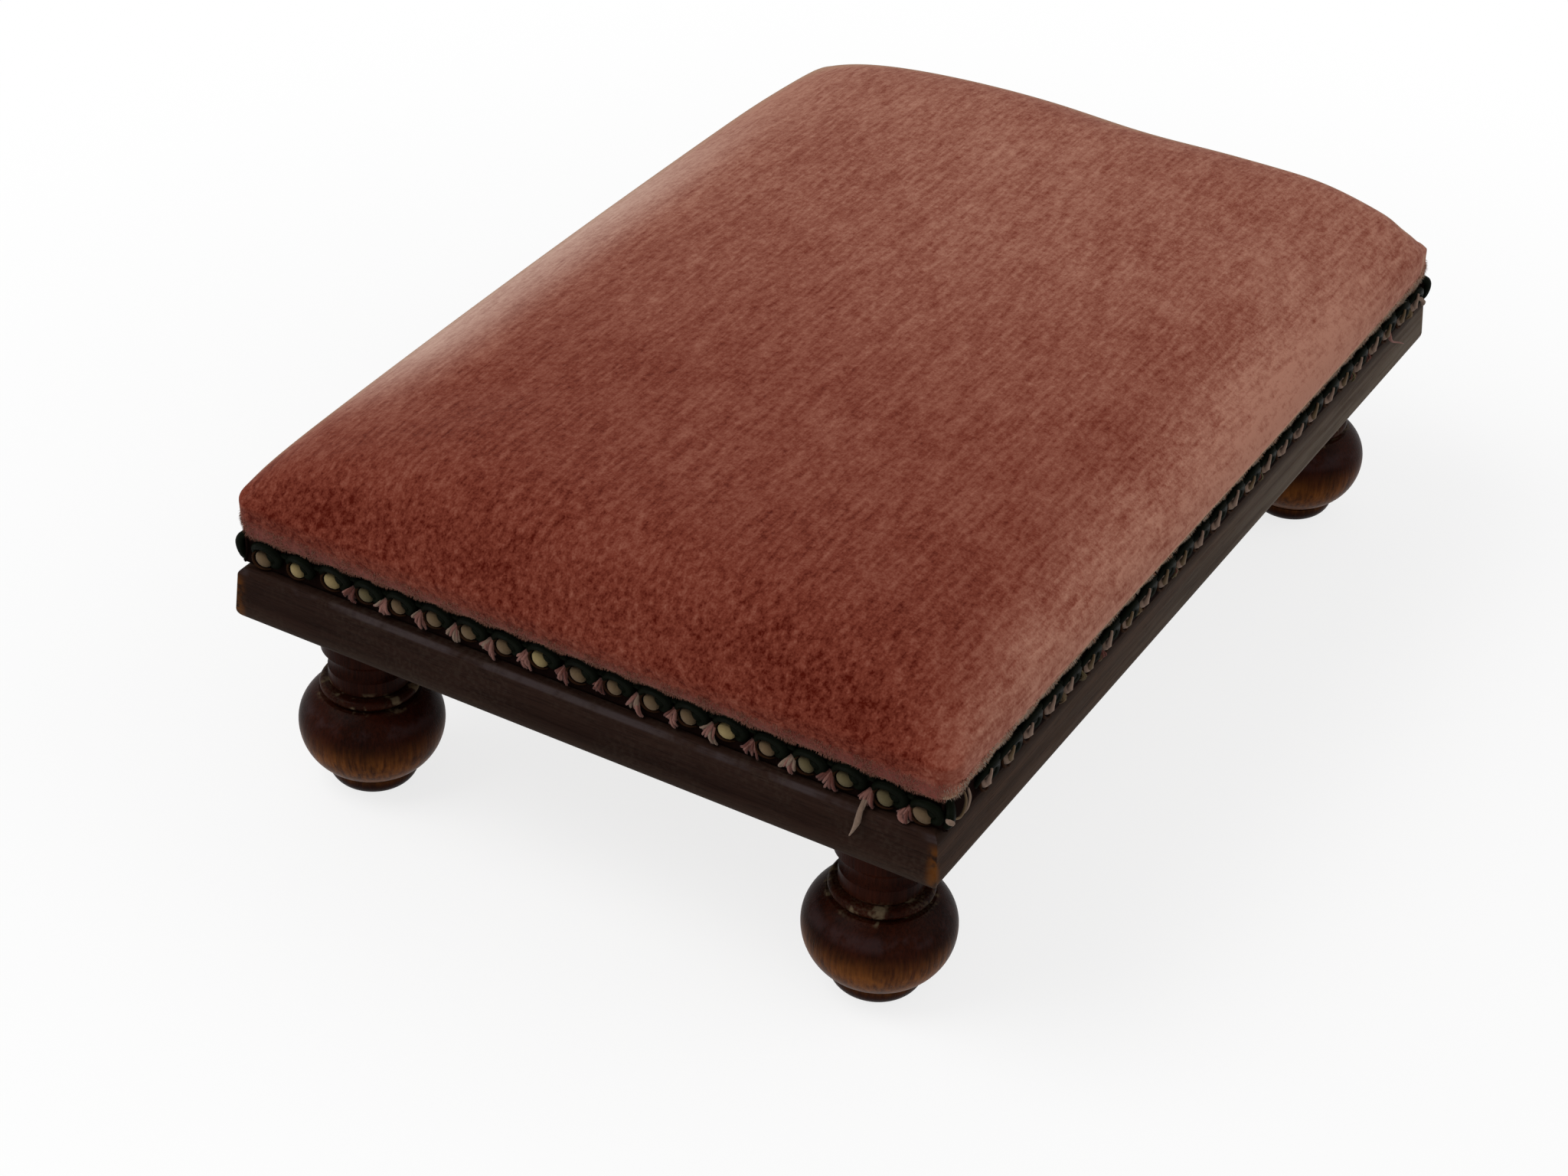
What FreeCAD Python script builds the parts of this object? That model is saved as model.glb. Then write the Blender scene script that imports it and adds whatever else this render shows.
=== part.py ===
import FreeCAD, Part

import math
import os

import Sketcher

# A small upholstered footstool. The frame is four moulded rails, mitred at the corners and stiffened
# by glued corner blocks, on four turned bun feet. The pad is built on a seat board that is screwed to
# the blocks, covered in velvet and finished with a scalloped gimp braid that stands on the rails.
# +X runs along the long side, +Y across, +Z up. The origin is on the floor under the middle.

SIZES = {
    # Frame
    "frame_length": 326.0,
    "frame_width": 220.0,
    "rail_height": 17.0,
    "rail_depth": 15.0,
    "rail_lower_round": 3.8,
    "rail_upper_round": 2.2,
    "rail_lean": 0.8,
    # Corner blocks
    "block_side": 38.0,
    "block_chamfer": 12.0,
    "screw_radius": 1.75,
    "screw_head_radius": 3.6,
    "screw_head_height": 2.2,
    "screw_bite": 6.5,
    "screw_inset": 14.0,
    "screw_slot_width": 0.9,
    "screw_slot_depth": 1.0,
    # Feet
    "foot_height": 57.0,
    "foot_end_inset": 24.0,
    "foot_side_inset": 27.0,
    "base_radius": 10.4,
    "base_rim_radius": 13.1,
    "base_height": 5.2,
    "bun_radius": 21.0,
    "bun_middle": 19.5,
    "bun_foot_radius": 12.5,
    "bun_neck_radius": 14.7,
    "bun_top": 30.4,
    "groove_radius": 12.6,
    "groove_height": 0.7,
    "upper_groove_radius": 11.2,
    "ring_radius": 13.2,
    "ring_height": 2.9,
    "disc_radius": 11.8,
    "disc_height": 4.2,
    "cove_height": 6.6,
    "cove_round": 3.9,
    "collar_radius": 13.5,
    "spigot_radius": 5.5,
    "spigot_length": 14.0,
    # Seat board
    "board_end_inset": 8.0,
    "board_side_inset": 4.1,
    "board_thickness": 9.0,
    "board_corner": 2.0,
    # Pad
    "velvet_thickness": 1.3,
    "wadding_thickness": 3.0,
    "pad_rise": 43.3,
    "belly_rise": 20.8,
    "belly_swell": 7.4,
    "belly_bow": 2.6,
    "belly_corner": 7.0,
    "shoulder_corner": 34.0,
    "end_crown": 16.0,
    "side_crown": 3.0,
    "side_fall": 1.8,
    # Gimp braid
    "gimp_height": 13.0,
    "gimp_thickness": 1.4,
    "gimp_rib": 0.7,
    "gimp_rib_height": 5.0,
    "gimp_pitch": 11.6,
    "scallop_depth": 1.3,
    # Cover tacks
    "tack_radius": 0.6,
    "tack_head_radius": 2.3,
    "tack_head_height": 0.4,
    "tack_length": 6.5,
    "tack_spacing": 30.0,
    # Clearances
    "glue_gap": 0.05,
    "soft_gap": 0.3,
}

# How far a cutting outline reaches past the piece it trims.
REACH = 1.0

# An arc's radius over half its chord, so that it stays just under a half circle.
NEARLY_HALF_ROUND = 1.02

# Each corner's name and the signs of its X and Y.
CORNERS = (
    ("front_left", -1, -1),
    ("front_right", 1, -1),
    ("back_right", 1, 1),
    ("back_left", -1, 1),
)

NODES = {}


class Size:
    """A length that knows its value and the sheet expression it comes from."""

    def __init__(self, value, text):
        self.value = value
        self.text = text

    def _joined(self, other, sign, value):
        right = other.text if isinstance(other, Size) else str(other)
        return Size(value, f"({self.text} {sign} {right})")

    def __add__(self, other):
        return self._joined(other, "+", self.value + number(other))

    def __sub__(self, other):
        return self._joined(other, "-", self.value - number(other))

    def __mul__(self, other):
        return self._joined(other, "*", self.value * number(other))

    def __truediv__(self, other):
        return self._joined(other, "/", self.value / number(other))

    def __neg__(self):
        return Size(-self.value, f"(-1 * {self.text})")


def number(size):
    """The plain value of a Size or of a number."""
    return size.value if isinstance(size, Size) else float(size)


def make_sheet(doc):
    """Write the driving sizes into the document's sheet and return them by name."""
    sheet = doc.addObject("Spreadsheet::Sheet", "Sizes")
    sizes = {}
    for row, (alias, value) in enumerate(SIZES.items(), start=1):
        sheet.set(f"A{row}", alias)
        sheet.set(f"B{row}", str(value))
        sheet.setAlias(f"B{row}", alias)
        sizes[alias] = Size(value, f"Sizes.{alias}")
    doc.recompute()
    return sizes


def bind(thing, prop, size):
    """Tie a property to the sheet."""
    thing.setExpression(prop, size.text if isinstance(size, Size) else str(size))


def new_body(doc, name, place=(0, 0, 0), turn=0.0):
    """Start a body that stands at place, a triple of sizes, turned about Z by a fixed angle."""
    body = doc.addObject("PartDesign::Body", name)
    body.Label = name
    base = FreeCAD.Vector(*[number(part) for part in place])
    body.Placement = FreeCAD.Placement(base, FreeCAD.Rotation(FreeCAD.Vector(0, 0, 1), turn))
    for axis, part in zip("xyz", place):
        if isinstance(part, Size):
            bind(body, f"Placement.Base.{axis}", part)
    NODES[name] = body
    return body


def origin_feature(body, role):
    """One of the body's own origin planes or axes."""
    for feature in body.Origin.OriginFeatures:
        if feature.Role == role:
            return feature
    raise ValueError(role)


def arc_between(start, end, radius, bulge_left):
    """The shorter arc of the given radius from start to end, swelling to the left or right of the way."""
    middle = (start + end) / 2
    way = end - start
    left = FreeCAD.Vector(-way.y, way.x, 0)
    left.normalize()
    half = way.Length / 2
    sagitta = radius - math.sqrt(max(radius * radius - half * half, 0.0))
    through = middle + left * (sagitta if bulge_left else -sagitta)
    return Part.Arc(start, through, end)


class Outline:
    """A closed sketch outline: each corner is a pair of sizes, each edge a line or an arc to the next."""

    def __init__(self, body, role, name, offset=0.0):
        self.sketch = body.newObject("Sketcher::SketchObject", name)
        self.sketch.AttachmentSupport = (origin_feature(body, role), [""])
        self.sketch.MapMode = "FlatFace"
        if offset:
            shift = FreeCAD.Vector(0, 0, number(offset))
            self.sketch.AttachmentOffset = FreeCAD.Placement(shift, FreeCAD.Rotation())
            bind(self.sketch, "AttachmentOffset.Base.z", offset)

    def _hold(self, constraint, size):
        index = self.sketch.addConstraint(constraint)
        if isinstance(size, Size):
            bind(self.sketch, f"Constraints[{index}]", size)

    def closed(self, corners):
        """Corners are (x, y) or (x, y, radius, bulge_left): the last two shape the edge that leaves it."""
        points = [FreeCAD.Vector(number(corner[0]), number(corner[1]), 0) for corner in corners]
        edges = []
        for index, corner in enumerate(corners):
            start = points[index]
            end = points[(index + 1) % len(points)]
            if len(corner) == 4:
                shape = arc_between(start, end, number(corner[2]), corner[3])
            else:
                shape = Part.LineSegment(start, end)
            edges.append(self.sketch.addGeometry(shape, False))
        self._join(corners, edges)
        return self

    def _join(self, corners, edges):
        """Tie each edge to the next and hold every corner and radius."""
        for index, corner in enumerate(corners):
            edge = edges[index]
            following = edges[(index + 1) % len(edges)]
            next_corner = corners[(index + 1) % len(corners)]
            first = self._vertex(edge, corner)
            last = self._vertex(edge, next_corner)
            joined = self._vertex(following, next_corner)
            self.sketch.addConstraint(Sketcher.Constraint("Coincident", edge, last, following, joined))
            x, y = corner[0], corner[1]
            self._hold(Sketcher.Constraint("DistanceX", -1, 1, edge, first, number(x)), x)
            self._hold(Sketcher.Constraint("DistanceY", -1, 1, edge, first, number(y)), y)
            if len(corner) == 4:
                self._hold(Sketcher.Constraint("Radius", edge, number(corner[2])), corner[2])

    def _vertex(self, geometry, corner):
        """Which end of the edge, 1 or 2, lies at the corner."""
        spot = FreeCAD.Vector(number(corner[0]), number(corner[1]), 0)
        near = self.sketch.getPoint(geometry, 1).distanceToPoint(spot)
        far = self.sketch.getPoint(geometry, 2).distanceToPoint(spot)
        return 1 if near <= far else 2

    def circle(self, x, y, radius):
        """Add a circle with its centre and radius held."""
        centre = FreeCAD.Vector(number(x), number(y), 0)
        shape = Part.Circle(centre, FreeCAD.Vector(0, 0, 1), number(radius))
        geometry = self.sketch.addGeometry(shape, False)
        self._hold(Sketcher.Constraint("DistanceX", -1, 1, geometry, 3, number(x)), x)
        self._hold(Sketcher.Constraint("DistanceY", -1, 1, geometry, 3, number(y)), y)
        self._hold(Sketcher.Constraint("Radius", geometry, number(radius)), radius)
        return self


def pad(body, outline, length, middle=False):
    """Raise an outline into a solid, along its plane's normal or to both sides of the plane."""
    feature = body.newObject("PartDesign::Pad", f"{outline.sketch.Name}_pad")
    feature.Profile = outline.sketch
    feature.Length = number(length)
    bind(feature, "Length", length)
    feature.SideType = 2 if middle else 0
    body.Tip = feature
    return feature


def pocket(body, outline, length, middle=False):
    """Cut an outline from the body along its plane's normal, or to both sides of the plane."""
    feature = body.newObject("PartDesign::Pocket", f"{outline.sketch.Name}_cut")
    feature.Profile = outline.sketch
    feature.Length = number(length)
    bind(feature, "Length", length)
    feature.SideType = 2 if middle else 0
    feature.Reversed = True
    body.Tip = feature


def revolve(body, outline):
    """Turn an outline about the Z axis."""
    feature = body.newObject("PartDesign::Revolution", f"{outline.sketch.Name}_turned")
    feature.Profile = outline.sketch
    feature.ReferenceAxis = (outline.sketch, ["V_Axis"])
    feature.Angle = 360.0
    body.Tip = feature


def shape_node(doc, name, shape):
    """Hold a solid that is worked out from the sheet's values."""
    feature = doc.addObject("Part::Feature", name)
    feature.Label = name
    feature.Shape = shape
    NODES[name] = feature


def arc_radius(sagitta, half_chord):
    """Radius of the arc with the given sagitta and half chord."""
    return (sagitta * sagitta + half_chord * half_chord) / (sagitta * 2)


def spread(span, spacing):
    """Places along a side of the given span, about one spacing apart and centred on zero."""
    count = max(2, round(number(span) / number(spacing)))
    pitch = span / count
    return [pitch * (index - (count - 1) / 2) for index in range(count)]


def mitre_ends(body, name, half_length, inner_y, outer_y, height):
    """Cut both ends at 45 degrees, through the outer corners at half_length along X."""
    depth = inner_y - outer_y
    for side, end in (("start", -1), ("finish", 1)):
        mitre = Outline(body, "XY_Plane", f"{name}_{side}_mitre").closed([
            ((half_length + REACH) * end, outer_y - REACH),
            ((half_length + REACH) * end, inner_y + REACH),
            ((half_length - depth - REACH) * end, inner_y + REACH),
        ])
        pocket(body, mitre, height + REACH)


def add_rail(doc, s, name, length, half_span, turn):
    """A moulded rail along local X, its face at local -Y, mitred at both ends."""
    body = new_body(doc, name, turn=turn)
    under = s["foot_height"]
    top = under + s["rail_height"]
    face = -half_span
    arris = face + s["rail_lean"]
    profile = Outline(body, "YZ_Plane", f"{name}_profile").closed([
        (face + s["rail_depth"], under),
        (face + s["rail_depth"], top),
        (arris + s["rail_upper_round"], top, s["rail_upper_round"], False),
        (arris, top - s["rail_upper_round"]),
        (face, under + s["rail_lower_round"], s["rail_lower_round"], False),
        (face + s["rail_lower_round"], under),
    ])
    pad(body, profile, length, middle=True)
    mitre_ends(body, name, length / 2, face + s["rail_depth"], face, top)


def add_rails(doc, s):
    """Two long and two short rails."""
    long_side, short_side = s["frame_length"], s["frame_width"]
    add_rail(doc, s, "rail_front", long_side, short_side / 2, 0.0)
    add_rail(doc, s, "rail_right", short_side, long_side / 2, 90.0)
    add_rail(doc, s, "rail_back", long_side, short_side / 2, 180.0)
    add_rail(doc, s, "rail_left", short_side, long_side / 2, 270.0)


def foot_place(s, sign_x, sign_y):
    """Centre of a foot on the floor."""
    x = (s["frame_length"] / 2 - s["foot_end_inset"]) * sign_x
    y = (s["frame_width"] / 2 - s["foot_side_inset"]) * sign_y
    return x, y


def screw_place(s, sign_x, sign_y):
    """Centre of a seat screw, in the free part of its corner block."""
    inner_x = s["frame_length"] / 2 - s["rail_depth"] - s["block_side"] + s["screw_inset"]
    inner_y = s["frame_width"] / 2 - s["rail_depth"] - s["block_side"] + s["screw_inset"]
    return inner_x * sign_x, inner_y * sign_y


def add_corner_block(doc, s, suffix, sign_x, sign_y):
    """A block glued into the corner of the frame, bored for the foot's spigot and a seat screw."""
    name = f"corner_block_{suffix}"
    body = new_body(doc, name, (0, 0, s["foot_height"]))
    outer_x = (s["frame_length"] / 2 - s["rail_depth"]) * sign_x
    outer_y = (s["frame_width"] / 2 - s["rail_depth"]) * sign_y
    inner_x = outer_x - s["block_side"] * sign_x
    inner_y = outer_y - s["block_side"] * sign_y
    plan = Outline(body, "XY_Plane", f"{name}_plan").closed([
        (outer_x, outer_y),
        (inner_x, outer_y),
        (inner_x, inner_y + s["block_chamfer"] * sign_y),
        (inner_x + s["block_chamfer"] * sign_x, inner_y),
        (outer_x, inner_y),
    ])
    pad(body, plan, s["rail_height"])
    foot_x, foot_y = foot_place(s, sign_x, sign_y)
    bore = Outline(body, "XY_Plane", f"{name}_bore")
    bore.circle(foot_x, foot_y, s["spigot_radius"] + s["glue_gap"])
    pocket(body, bore, s["spigot_length"] + s["glue_gap"])
    screw_x, screw_y = screw_place(s, sign_x, sign_y)
    shank = Outline(body, "XY_Plane", f"{name}_screw_hole")
    shank.circle(screw_x, screw_y, s["screw_radius"] + s["glue_gap"])
    pocket(body, shank, s["rail_height"] + REACH)
    head = Outline(body, "XY_Plane", f"{name}_screw_sink")
    head.circle(screw_x, screw_y, s["screw_head_radius"] + s["glue_gap"])
    pocket(body, head, s["screw_head_height"])


def add_foot(doc, s, suffix, sign_x, sign_y):
    """A turned foot: base rim, bun, ring between two grooves, disc, cove, collar and glued spigot."""
    name = f"foot_{suffix}"
    x, y = foot_place(s, sign_x, sign_y)
    body = new_body(doc, name, (x, y, 0))
    groove_top = s["bun_top"] + s["groove_height"]
    ring_top = groove_top + s["ring_height"]
    disc_under = ring_top + s["groove_height"]
    disc_top = disc_under + s["disc_height"]
    cove_top = disc_top + s["cove_height"]
    ring_round = s["ring_height"] / 2 * NEARLY_HALF_ROUND
    lower_bun = arc_radius(s["bun_radius"] - s["bun_foot_radius"], s["bun_middle"] - s["base_height"])
    upper_bun = arc_radius(s["bun_radius"] - s["bun_neck_radius"], s["bun_top"] - s["bun_middle"])
    profile = Outline(body, "XZ_Plane", f"{name}_profile").closed([
        (0, 0),
        (s["base_radius"], 0, s["base_height"], False),
        (s["base_rim_radius"], s["base_height"]),
        (s["bun_foot_radius"], s["base_height"], lower_bun, False),
        (s["bun_radius"], s["bun_middle"], upper_bun, False),
        (s["bun_neck_radius"], s["bun_top"]),
        (s["groove_radius"], s["bun_top"]),
        (s["groove_radius"], groove_top),
        (s["ring_radius"], groove_top, ring_round, False),
        (s["ring_radius"], ring_top),
        (s["upper_groove_radius"], ring_top),
        (s["upper_groove_radius"], disc_under),
        (s["disc_radius"], disc_under),
        (s["disc_radius"], disc_top, s["cove_round"], True),
        (s["collar_radius"], cove_top),
        (s["collar_radius"], s["foot_height"]),
        (s["spigot_radius"], s["foot_height"]),
        (s["spigot_radius"], s["foot_height"] + s["spigot_length"]),
        (0, s["foot_height"] + s["spigot_length"]),
    ])
    revolve(body, profile)


def seat_screw(s, sign_x, sign_y):
    """A slotted screw, upwards through the block into the seat board, its head sunk in the block."""
    x, y = screw_place(s, sign_x, sign_y)
    under = s["foot_height"].value
    head_height = s["screw_head_height"].value
    length = s["rail_height"].value + s["screw_bite"].value
    base = FreeCAD.Vector(x.value, y.value, under)
    up = FreeCAD.Vector(0, 0, 1)
    head_radius = s["screw_head_radius"].value
    head = Part.makeCylinder(head_radius, head_height, base, up)
    shank = Part.makeCylinder(s["screw_radius"].value, length, base, up)
    slot_width = s["screw_slot_width"].value
    slot_depth = s["screw_slot_depth"].value
    slot_corner = base - FreeCAD.Vector(head_radius + REACH, slot_width / 2, REACH)
    slot = Part.makeBox(2 * (head_radius + REACH), slot_width, slot_depth + REACH, slot_corner)
    return head.fuse(shank).cut(slot)


def seat_board_plan(s):
    """Half length and half width of the seat board."""
    half_x = s["frame_length"] / 2 - s["board_end_inset"]
    half_y = s["frame_width"] / 2 - s["board_side_inset"]
    return half_x, half_y


def board_underside(s):
    """The seat board lies on the rails."""
    return s["foot_height"] + s["rail_height"]


def add_seat_board(doc, s):
    """The board that carries the pad, with pilot holes for its screws and the cover's tacks."""
    body = new_body(doc, "seat_board", (0, 0, board_underside(s)))
    half_x, half_y = seat_board_plan(s)
    corner = s["board_corner"]
    plan = Outline(body, "XY_Plane", "seat_board_plan").closed([
        (-half_x + corner, -half_y),
        (half_x - corner, -half_y, corner, False),
        (half_x, -half_y + corner),
        (half_x, half_y - corner, corner, False),
        (half_x - corner, half_y),
        (-half_x + corner, half_y, corner, False),
        (-half_x, half_y - corner),
        (-half_x, -half_y + corner, corner, False),
    ])
    pad(body, plan, s["board_thickness"])
    screws = Outline(body, "XY_Plane", "seat_board_screw_holes")
    for _, sign_x, sign_y in CORNERS:
        x, y = screw_place(s, sign_x, sign_y)
        screws.circle(x, y, s["screw_radius"] + s["glue_gap"])
    pocket(body, screws, s["screw_bite"] + s["glue_gap"])
    edges = (
        ("front", "XZ_Plane", half_y, half_x),
        ("back", "XZ_Plane", -half_y, half_x),
        ("left", "YZ_Plane", -half_x, half_y),
        ("right", "YZ_Plane", half_x, half_y),
    )
    for side, plane, offset, half_run in edges:
        tacks = Outline(body, plane, f"seat_board_{side}_tack_holes", offset)
        for place in spread(half_run * 2, s["tack_spacing"]):
            tacks.circle(place, s["board_thickness"] / 2, s["tack_radius"] + s["glue_gap"])
        pocket(body, tacks, (s["tack_length"] + s["glue_gap"]) * 2, middle=True)


class PadForm:
    """The pad's outer form, or the same form drawn in by a given depth for the layers inside it."""

    # Levels of the crown from the belly up, and the share of its height at the last one.
    CROWN_LEVELS = 9
    LAST_SHARE = 0.998

    # Levels from the skirt up to the belly, and how steeply the cover leaves the skirt, in radians.
    NECK_LEVELS = 3
    NECK_START = 0.5

    # The largest corner at any level, as a share of its half width.
    CORNER_LIMIT = 0.8

    def __init__(self, s):
        board_x, board_y = seat_board_plan(s)
        wrap = s["velvet_thickness"].value + s["soft_gap"].value
        self.skirt_x = board_x.value + wrap
        self.skirt_y = board_y.value + wrap
        self.skirt_corner = s["board_corner"].value + wrap
        self.skirt_top = board_underside(s).value + s["gimp_height"].value + s["soft_gap"].value
        self.belly = (board_underside(s) + s["belly_rise"]).value
        self.top = (board_underside(s) + s["pad_rise"]).value
        self.swell = s["belly_swell"].value
        self.bow = s["belly_bow"].value
        self.belly_corner = s["belly_corner"].value
        self.shoulder_corner = s["shoulder_corner"].value
        self.end_crown = s["end_crown"].value
        self.side_crown = s["side_crown"].value
        self.side_fall = s["side_fall"].value

    def outline(self, half_x, half_y, corner, bow, height):
        """A rectangle with round corners whose sides are straight, or bowed outwards."""
        straight_x = half_x - bow - corner
        straight_y = half_y - bow - corner
        turn = corner * math.sqrt(0.5)
        lift = FreeCAD.Vector(0, 0, height)
        edges = []
        for quarter in range(4):
            run, side, across = straight_x, half_y, half_x
            if quarter % 2:
                run, side, across = straight_y, half_x, half_y
            spin = FreeCAD.Rotation(FreeCAD.Vector(0, 0, 1), 90.0 * quarter)
            start = FreeCAD.Vector(-run, bow - side, 0)
            middle = FreeCAD.Vector(0, -side, 0)
            end = FreeCAD.Vector(run, bow - side, 0)
            bend = FreeCAD.Vector(run + turn, bow - side + corner - turn, 0)
            after = FreeCAD.Vector(across - bow, bow - side + corner, 0)
            start, middle, end, bend, after = [
                spin.multVec(point) + lift for point in (start, middle, end, bend, after)
            ]
            if bow:
                edges.append(Part.Arc(start, middle, end).toShape())
            else:
                edges.append(Part.makeLine(start, end))
            edges.append(Part.Arc(end, bend, after).toShape())
        return Part.Wire(edges)

    def skirt(self, depth, height):
        """The outline where the cover is drawn in against the board."""
        corner = max(self.skirt_corner - depth, self.skirt_corner / 4)
        return self.outline(self.skirt_x - depth, self.skirt_y - depth, corner, 0.0, height)

    def neck(self, depth, share):
        """The outline part of the way from the skirt to the belly, on a round that ends upright."""
        angle = self.NECK_START + (math.pi / 2 - self.NECK_START) * share
        out = (math.sin(angle) - math.sin(self.NECK_START)) / (1 - math.sin(self.NECK_START))
        up = 1 - math.cos(angle) / math.cos(self.NECK_START)
        swell = self.swell * out - depth
        corner = self.skirt_corner + (self.belly_corner - self.skirt_corner) * out
        height = self.skirt_top + (self.belly - self.skirt_top) * up
        return self.outline(self.skirt_x + swell, self.skirt_y + swell, corner, self.bow * out, height)

    def crown(self, depth, share):
        """The outline at a share of the height from the belly, the widest line, to the top."""
        rise = self.top - depth - self.belly
        end_narrowing = (1 - share) ** (1 / self.end_crown)
        side_narrowing = (1 - share ** self.side_fall) ** (1 / self.side_crown)
        half_x = (self.skirt_x + self.swell - depth) * end_narrowing
        half_y = (self.skirt_y + self.swell - depth) * side_narrowing
        bow = min(self.bow, half_y * (1 - self.CORNER_LIMIT) / 2)
        corner = self.belly_corner + (self.shoulder_corner - self.belly_corner) * share
        corner = min(corner, half_y * self.CORNER_LIMIT)
        return self.outline(half_x, half_y, corner, bow, self.belly + rise * share)

    def solid(self, depth, bottom):
        """The closed form, from bottom up, drawn in by depth."""
        skirt_low = self.skirt(depth, bottom)
        skirt_high = self.skirt(depth, self.skirt_top)
        skirt = Part.makeLoft([skirt_low, skirt_high], True, True)
        levels = [skirt_high]
        for step in range(1, self.NECK_LEVELS):
            levels.append(self.neck(depth, step / self.NECK_LEVELS))
        last_angle = math.asin(self.LAST_SHARE)
        for step in range(self.CROWN_LEVELS + 1):
            levels.append(self.crown(depth, math.sin(last_angle * step / self.CROWN_LEVELS)))
        cushion = Part.makeLoft(levels, True, False)
        return skirt.fuse(cushion)


def add_cushion(doc, s):
    """Stuffing, wadding and velvet, one over the other."""
    form = PadForm(s)
    board_top = board_underside(s).value + s["board_thickness"].value
    soft_gap = s["soft_gap"].value
    velvet_in = s["velvet_thickness"].value
    wadding_out = velvet_in + soft_gap
    wadding_in = wadding_out + s["wadding_thickness"].value
    stuffing_out = wadding_in + soft_gap
    shape_node(doc, "stuffing", form.solid(stuffing_out, board_top))
    wadding = form.solid(wadding_out, board_top).cut(form.solid(wadding_in, board_top - REACH))
    shape_node(doc, "wadding", wadding)
    hem = board_underside(s).value + soft_gap
    velvet = form.solid(0.0, hem).cut(form.solid(velvet_in, hem - REACH))
    holes = [tack_shank(s, tip, way, s["glue_gap"].value) for tip, way in cover_tack_places(s)]
    shape_node(doc, "velvet_cover", velvet.cut(Part.makeCompound(holes)))
    tacks = [tack_head(s, tip, way).fuse(tack_shank(s, tip, way)) for tip, way in cover_tack_places(s)]
    shape_node(doc, "cover_tacks", Part.makeCompound(tacks))


def cover_tack_places(s):
    """Where each tack's head meets the velvet, and the way its shank runs into the board's edge."""
    form = PadForm(s)
    half_x, half_y = seat_board_plan(s)
    height = (board_underside(s) + s["board_thickness"] / 2).value
    places = []
    for side in (-1, 1):
        for place in spread(half_x * 2, s["tack_spacing"]):
            tip = FreeCAD.Vector(place.value, form.skirt_y * side, height)
            places.append((tip, FreeCAD.Vector(0, -side, 0)))
        for place in spread(half_y * 2, s["tack_spacing"]):
            tip = FreeCAD.Vector(form.skirt_x * side, place.value, height)
            places.append((tip, FreeCAD.Vector(-side, 0, 0)))
    return places


def tack_shank(s, tip, way, clearance=0.0):
    """A tack's shank, or with a clearance the hole that takes it."""
    radius = s["tack_radius"].value + clearance
    return Part.makeCylinder(radius, s["tack_length"].value + clearance, tip, way)


def tack_head(s, tip, way):
    """The flat head that presses on the velvet."""
    height = s["tack_head_height"].value
    return Part.makeCylinder(s["tack_head_radius"].value, height, tip - way * height, way)


def add_gimp_run(doc, s, name, half_length, half_span, turn):
    """A run of braid along local X: a flat band with scalloped edges and a raised middle rib.

    The band lies against the tack heads at local -Y, half_span from the middle, and stands on the
    rail. half_length reaches to the inner face of the runs that meet it at the corners.
    """
    body = new_body(doc, name, (0, 0, board_underside(s) + s["glue_gap"]), turn)
    low = s["scallop_depth"]
    high = s["gimp_height"] - s["scallop_depth"]
    end = half_length + s["gimp_thickness"]
    band = Outline(body, "XZ_Plane", f"{name}_band", half_span).closed([
        (-end, low),
        (end, low),
        (end, high),
        (-end, high),
    ])
    pad(body, band, s["gimp_thickness"])
    count = round(number(half_length) * 2 / number(s["gimp_pitch"]))
    pitch = half_length * 2 / count
    first = -half_length
    curve = arc_radius(s["scallop_depth"], pitch / 2)
    for edge, level, way in (("lower", low, 1), ("upper", high, -1)):
        start, stop = (first, first + pitch) if way == 1 else (first + pitch, first)
        scallop = Outline(body, "XZ_Plane", f"{name}_{edge}_scallop", half_span).closed([
            (start, level, curve, False),
            (stop, level),
        ])
        bump = pad(body, scallop, s["gimp_thickness"])
        repeat(body, bump, scallop, pitch * (count - 1), count)
    outer = half_span + s["gimp_thickness"]
    middle = s["gimp_height"] / 2
    half_rib = s["gimp_rib_height"] / 2
    rib = Outline(body, "YZ_Plane", f"{name}_rib").closed([
        (-outer, middle + half_rib, arc_radius(s["gimp_rib"], half_rib), False),
        (-outer, middle - half_rib),
    ])
    pad(body, rib, end * 2, middle=True)
    mitre_ends(body, name, end, -half_span, -outer, s["gimp_height"])


def repeat(body, feature, outline, length, count):
    """Repeat a feature along its outline's own X direction, count times over a length."""
    row = body.newObject("PartDesign::LinearPattern", f"{feature.Name}_row")
    row.Originals = [feature]
    row.Direction = (outline.sketch, ["H_Axis"])
    row.Length = number(length)
    bind(row, "Length", length)
    row.Occurrences = count
    body.Tip = row


def add_gimp(doc, s):
    """Four runs of braid round the foot of the pad, cut at the corners."""
    half_x, half_y = seat_board_plan(s)
    stand_off = s["velvet_thickness"] + s["soft_gap"] + s["tack_head_height"] + s["glue_gap"]
    long_span = half_x + stand_off
    short_span = half_y + stand_off
    add_gimp_run(doc, s, "gimp_front", long_span, short_span, 0.0)
    add_gimp_run(doc, s, "gimp_right", short_span, long_span, 90.0)
    add_gimp_run(doc, s, "gimp_back", long_span, short_span, 180.0)
    add_gimp_run(doc, s, "gimp_left", short_span, long_span, 270.0)


def check(doc):
    """Stop if anything in the document failed to build."""
    for thing in doc.Objects:
        if "Invalid" in thing.State or "Error" in thing.State:
            raise RuntimeError(f"{thing.Label} did not build: {thing.State}")
    for name, node in NODES.items():
        if node.Shape.isNull() or not node.Shape.isValid() or node.Shape.Volume <= 0:
            raise RuntimeError(f"{name} has no valid shape")


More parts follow.
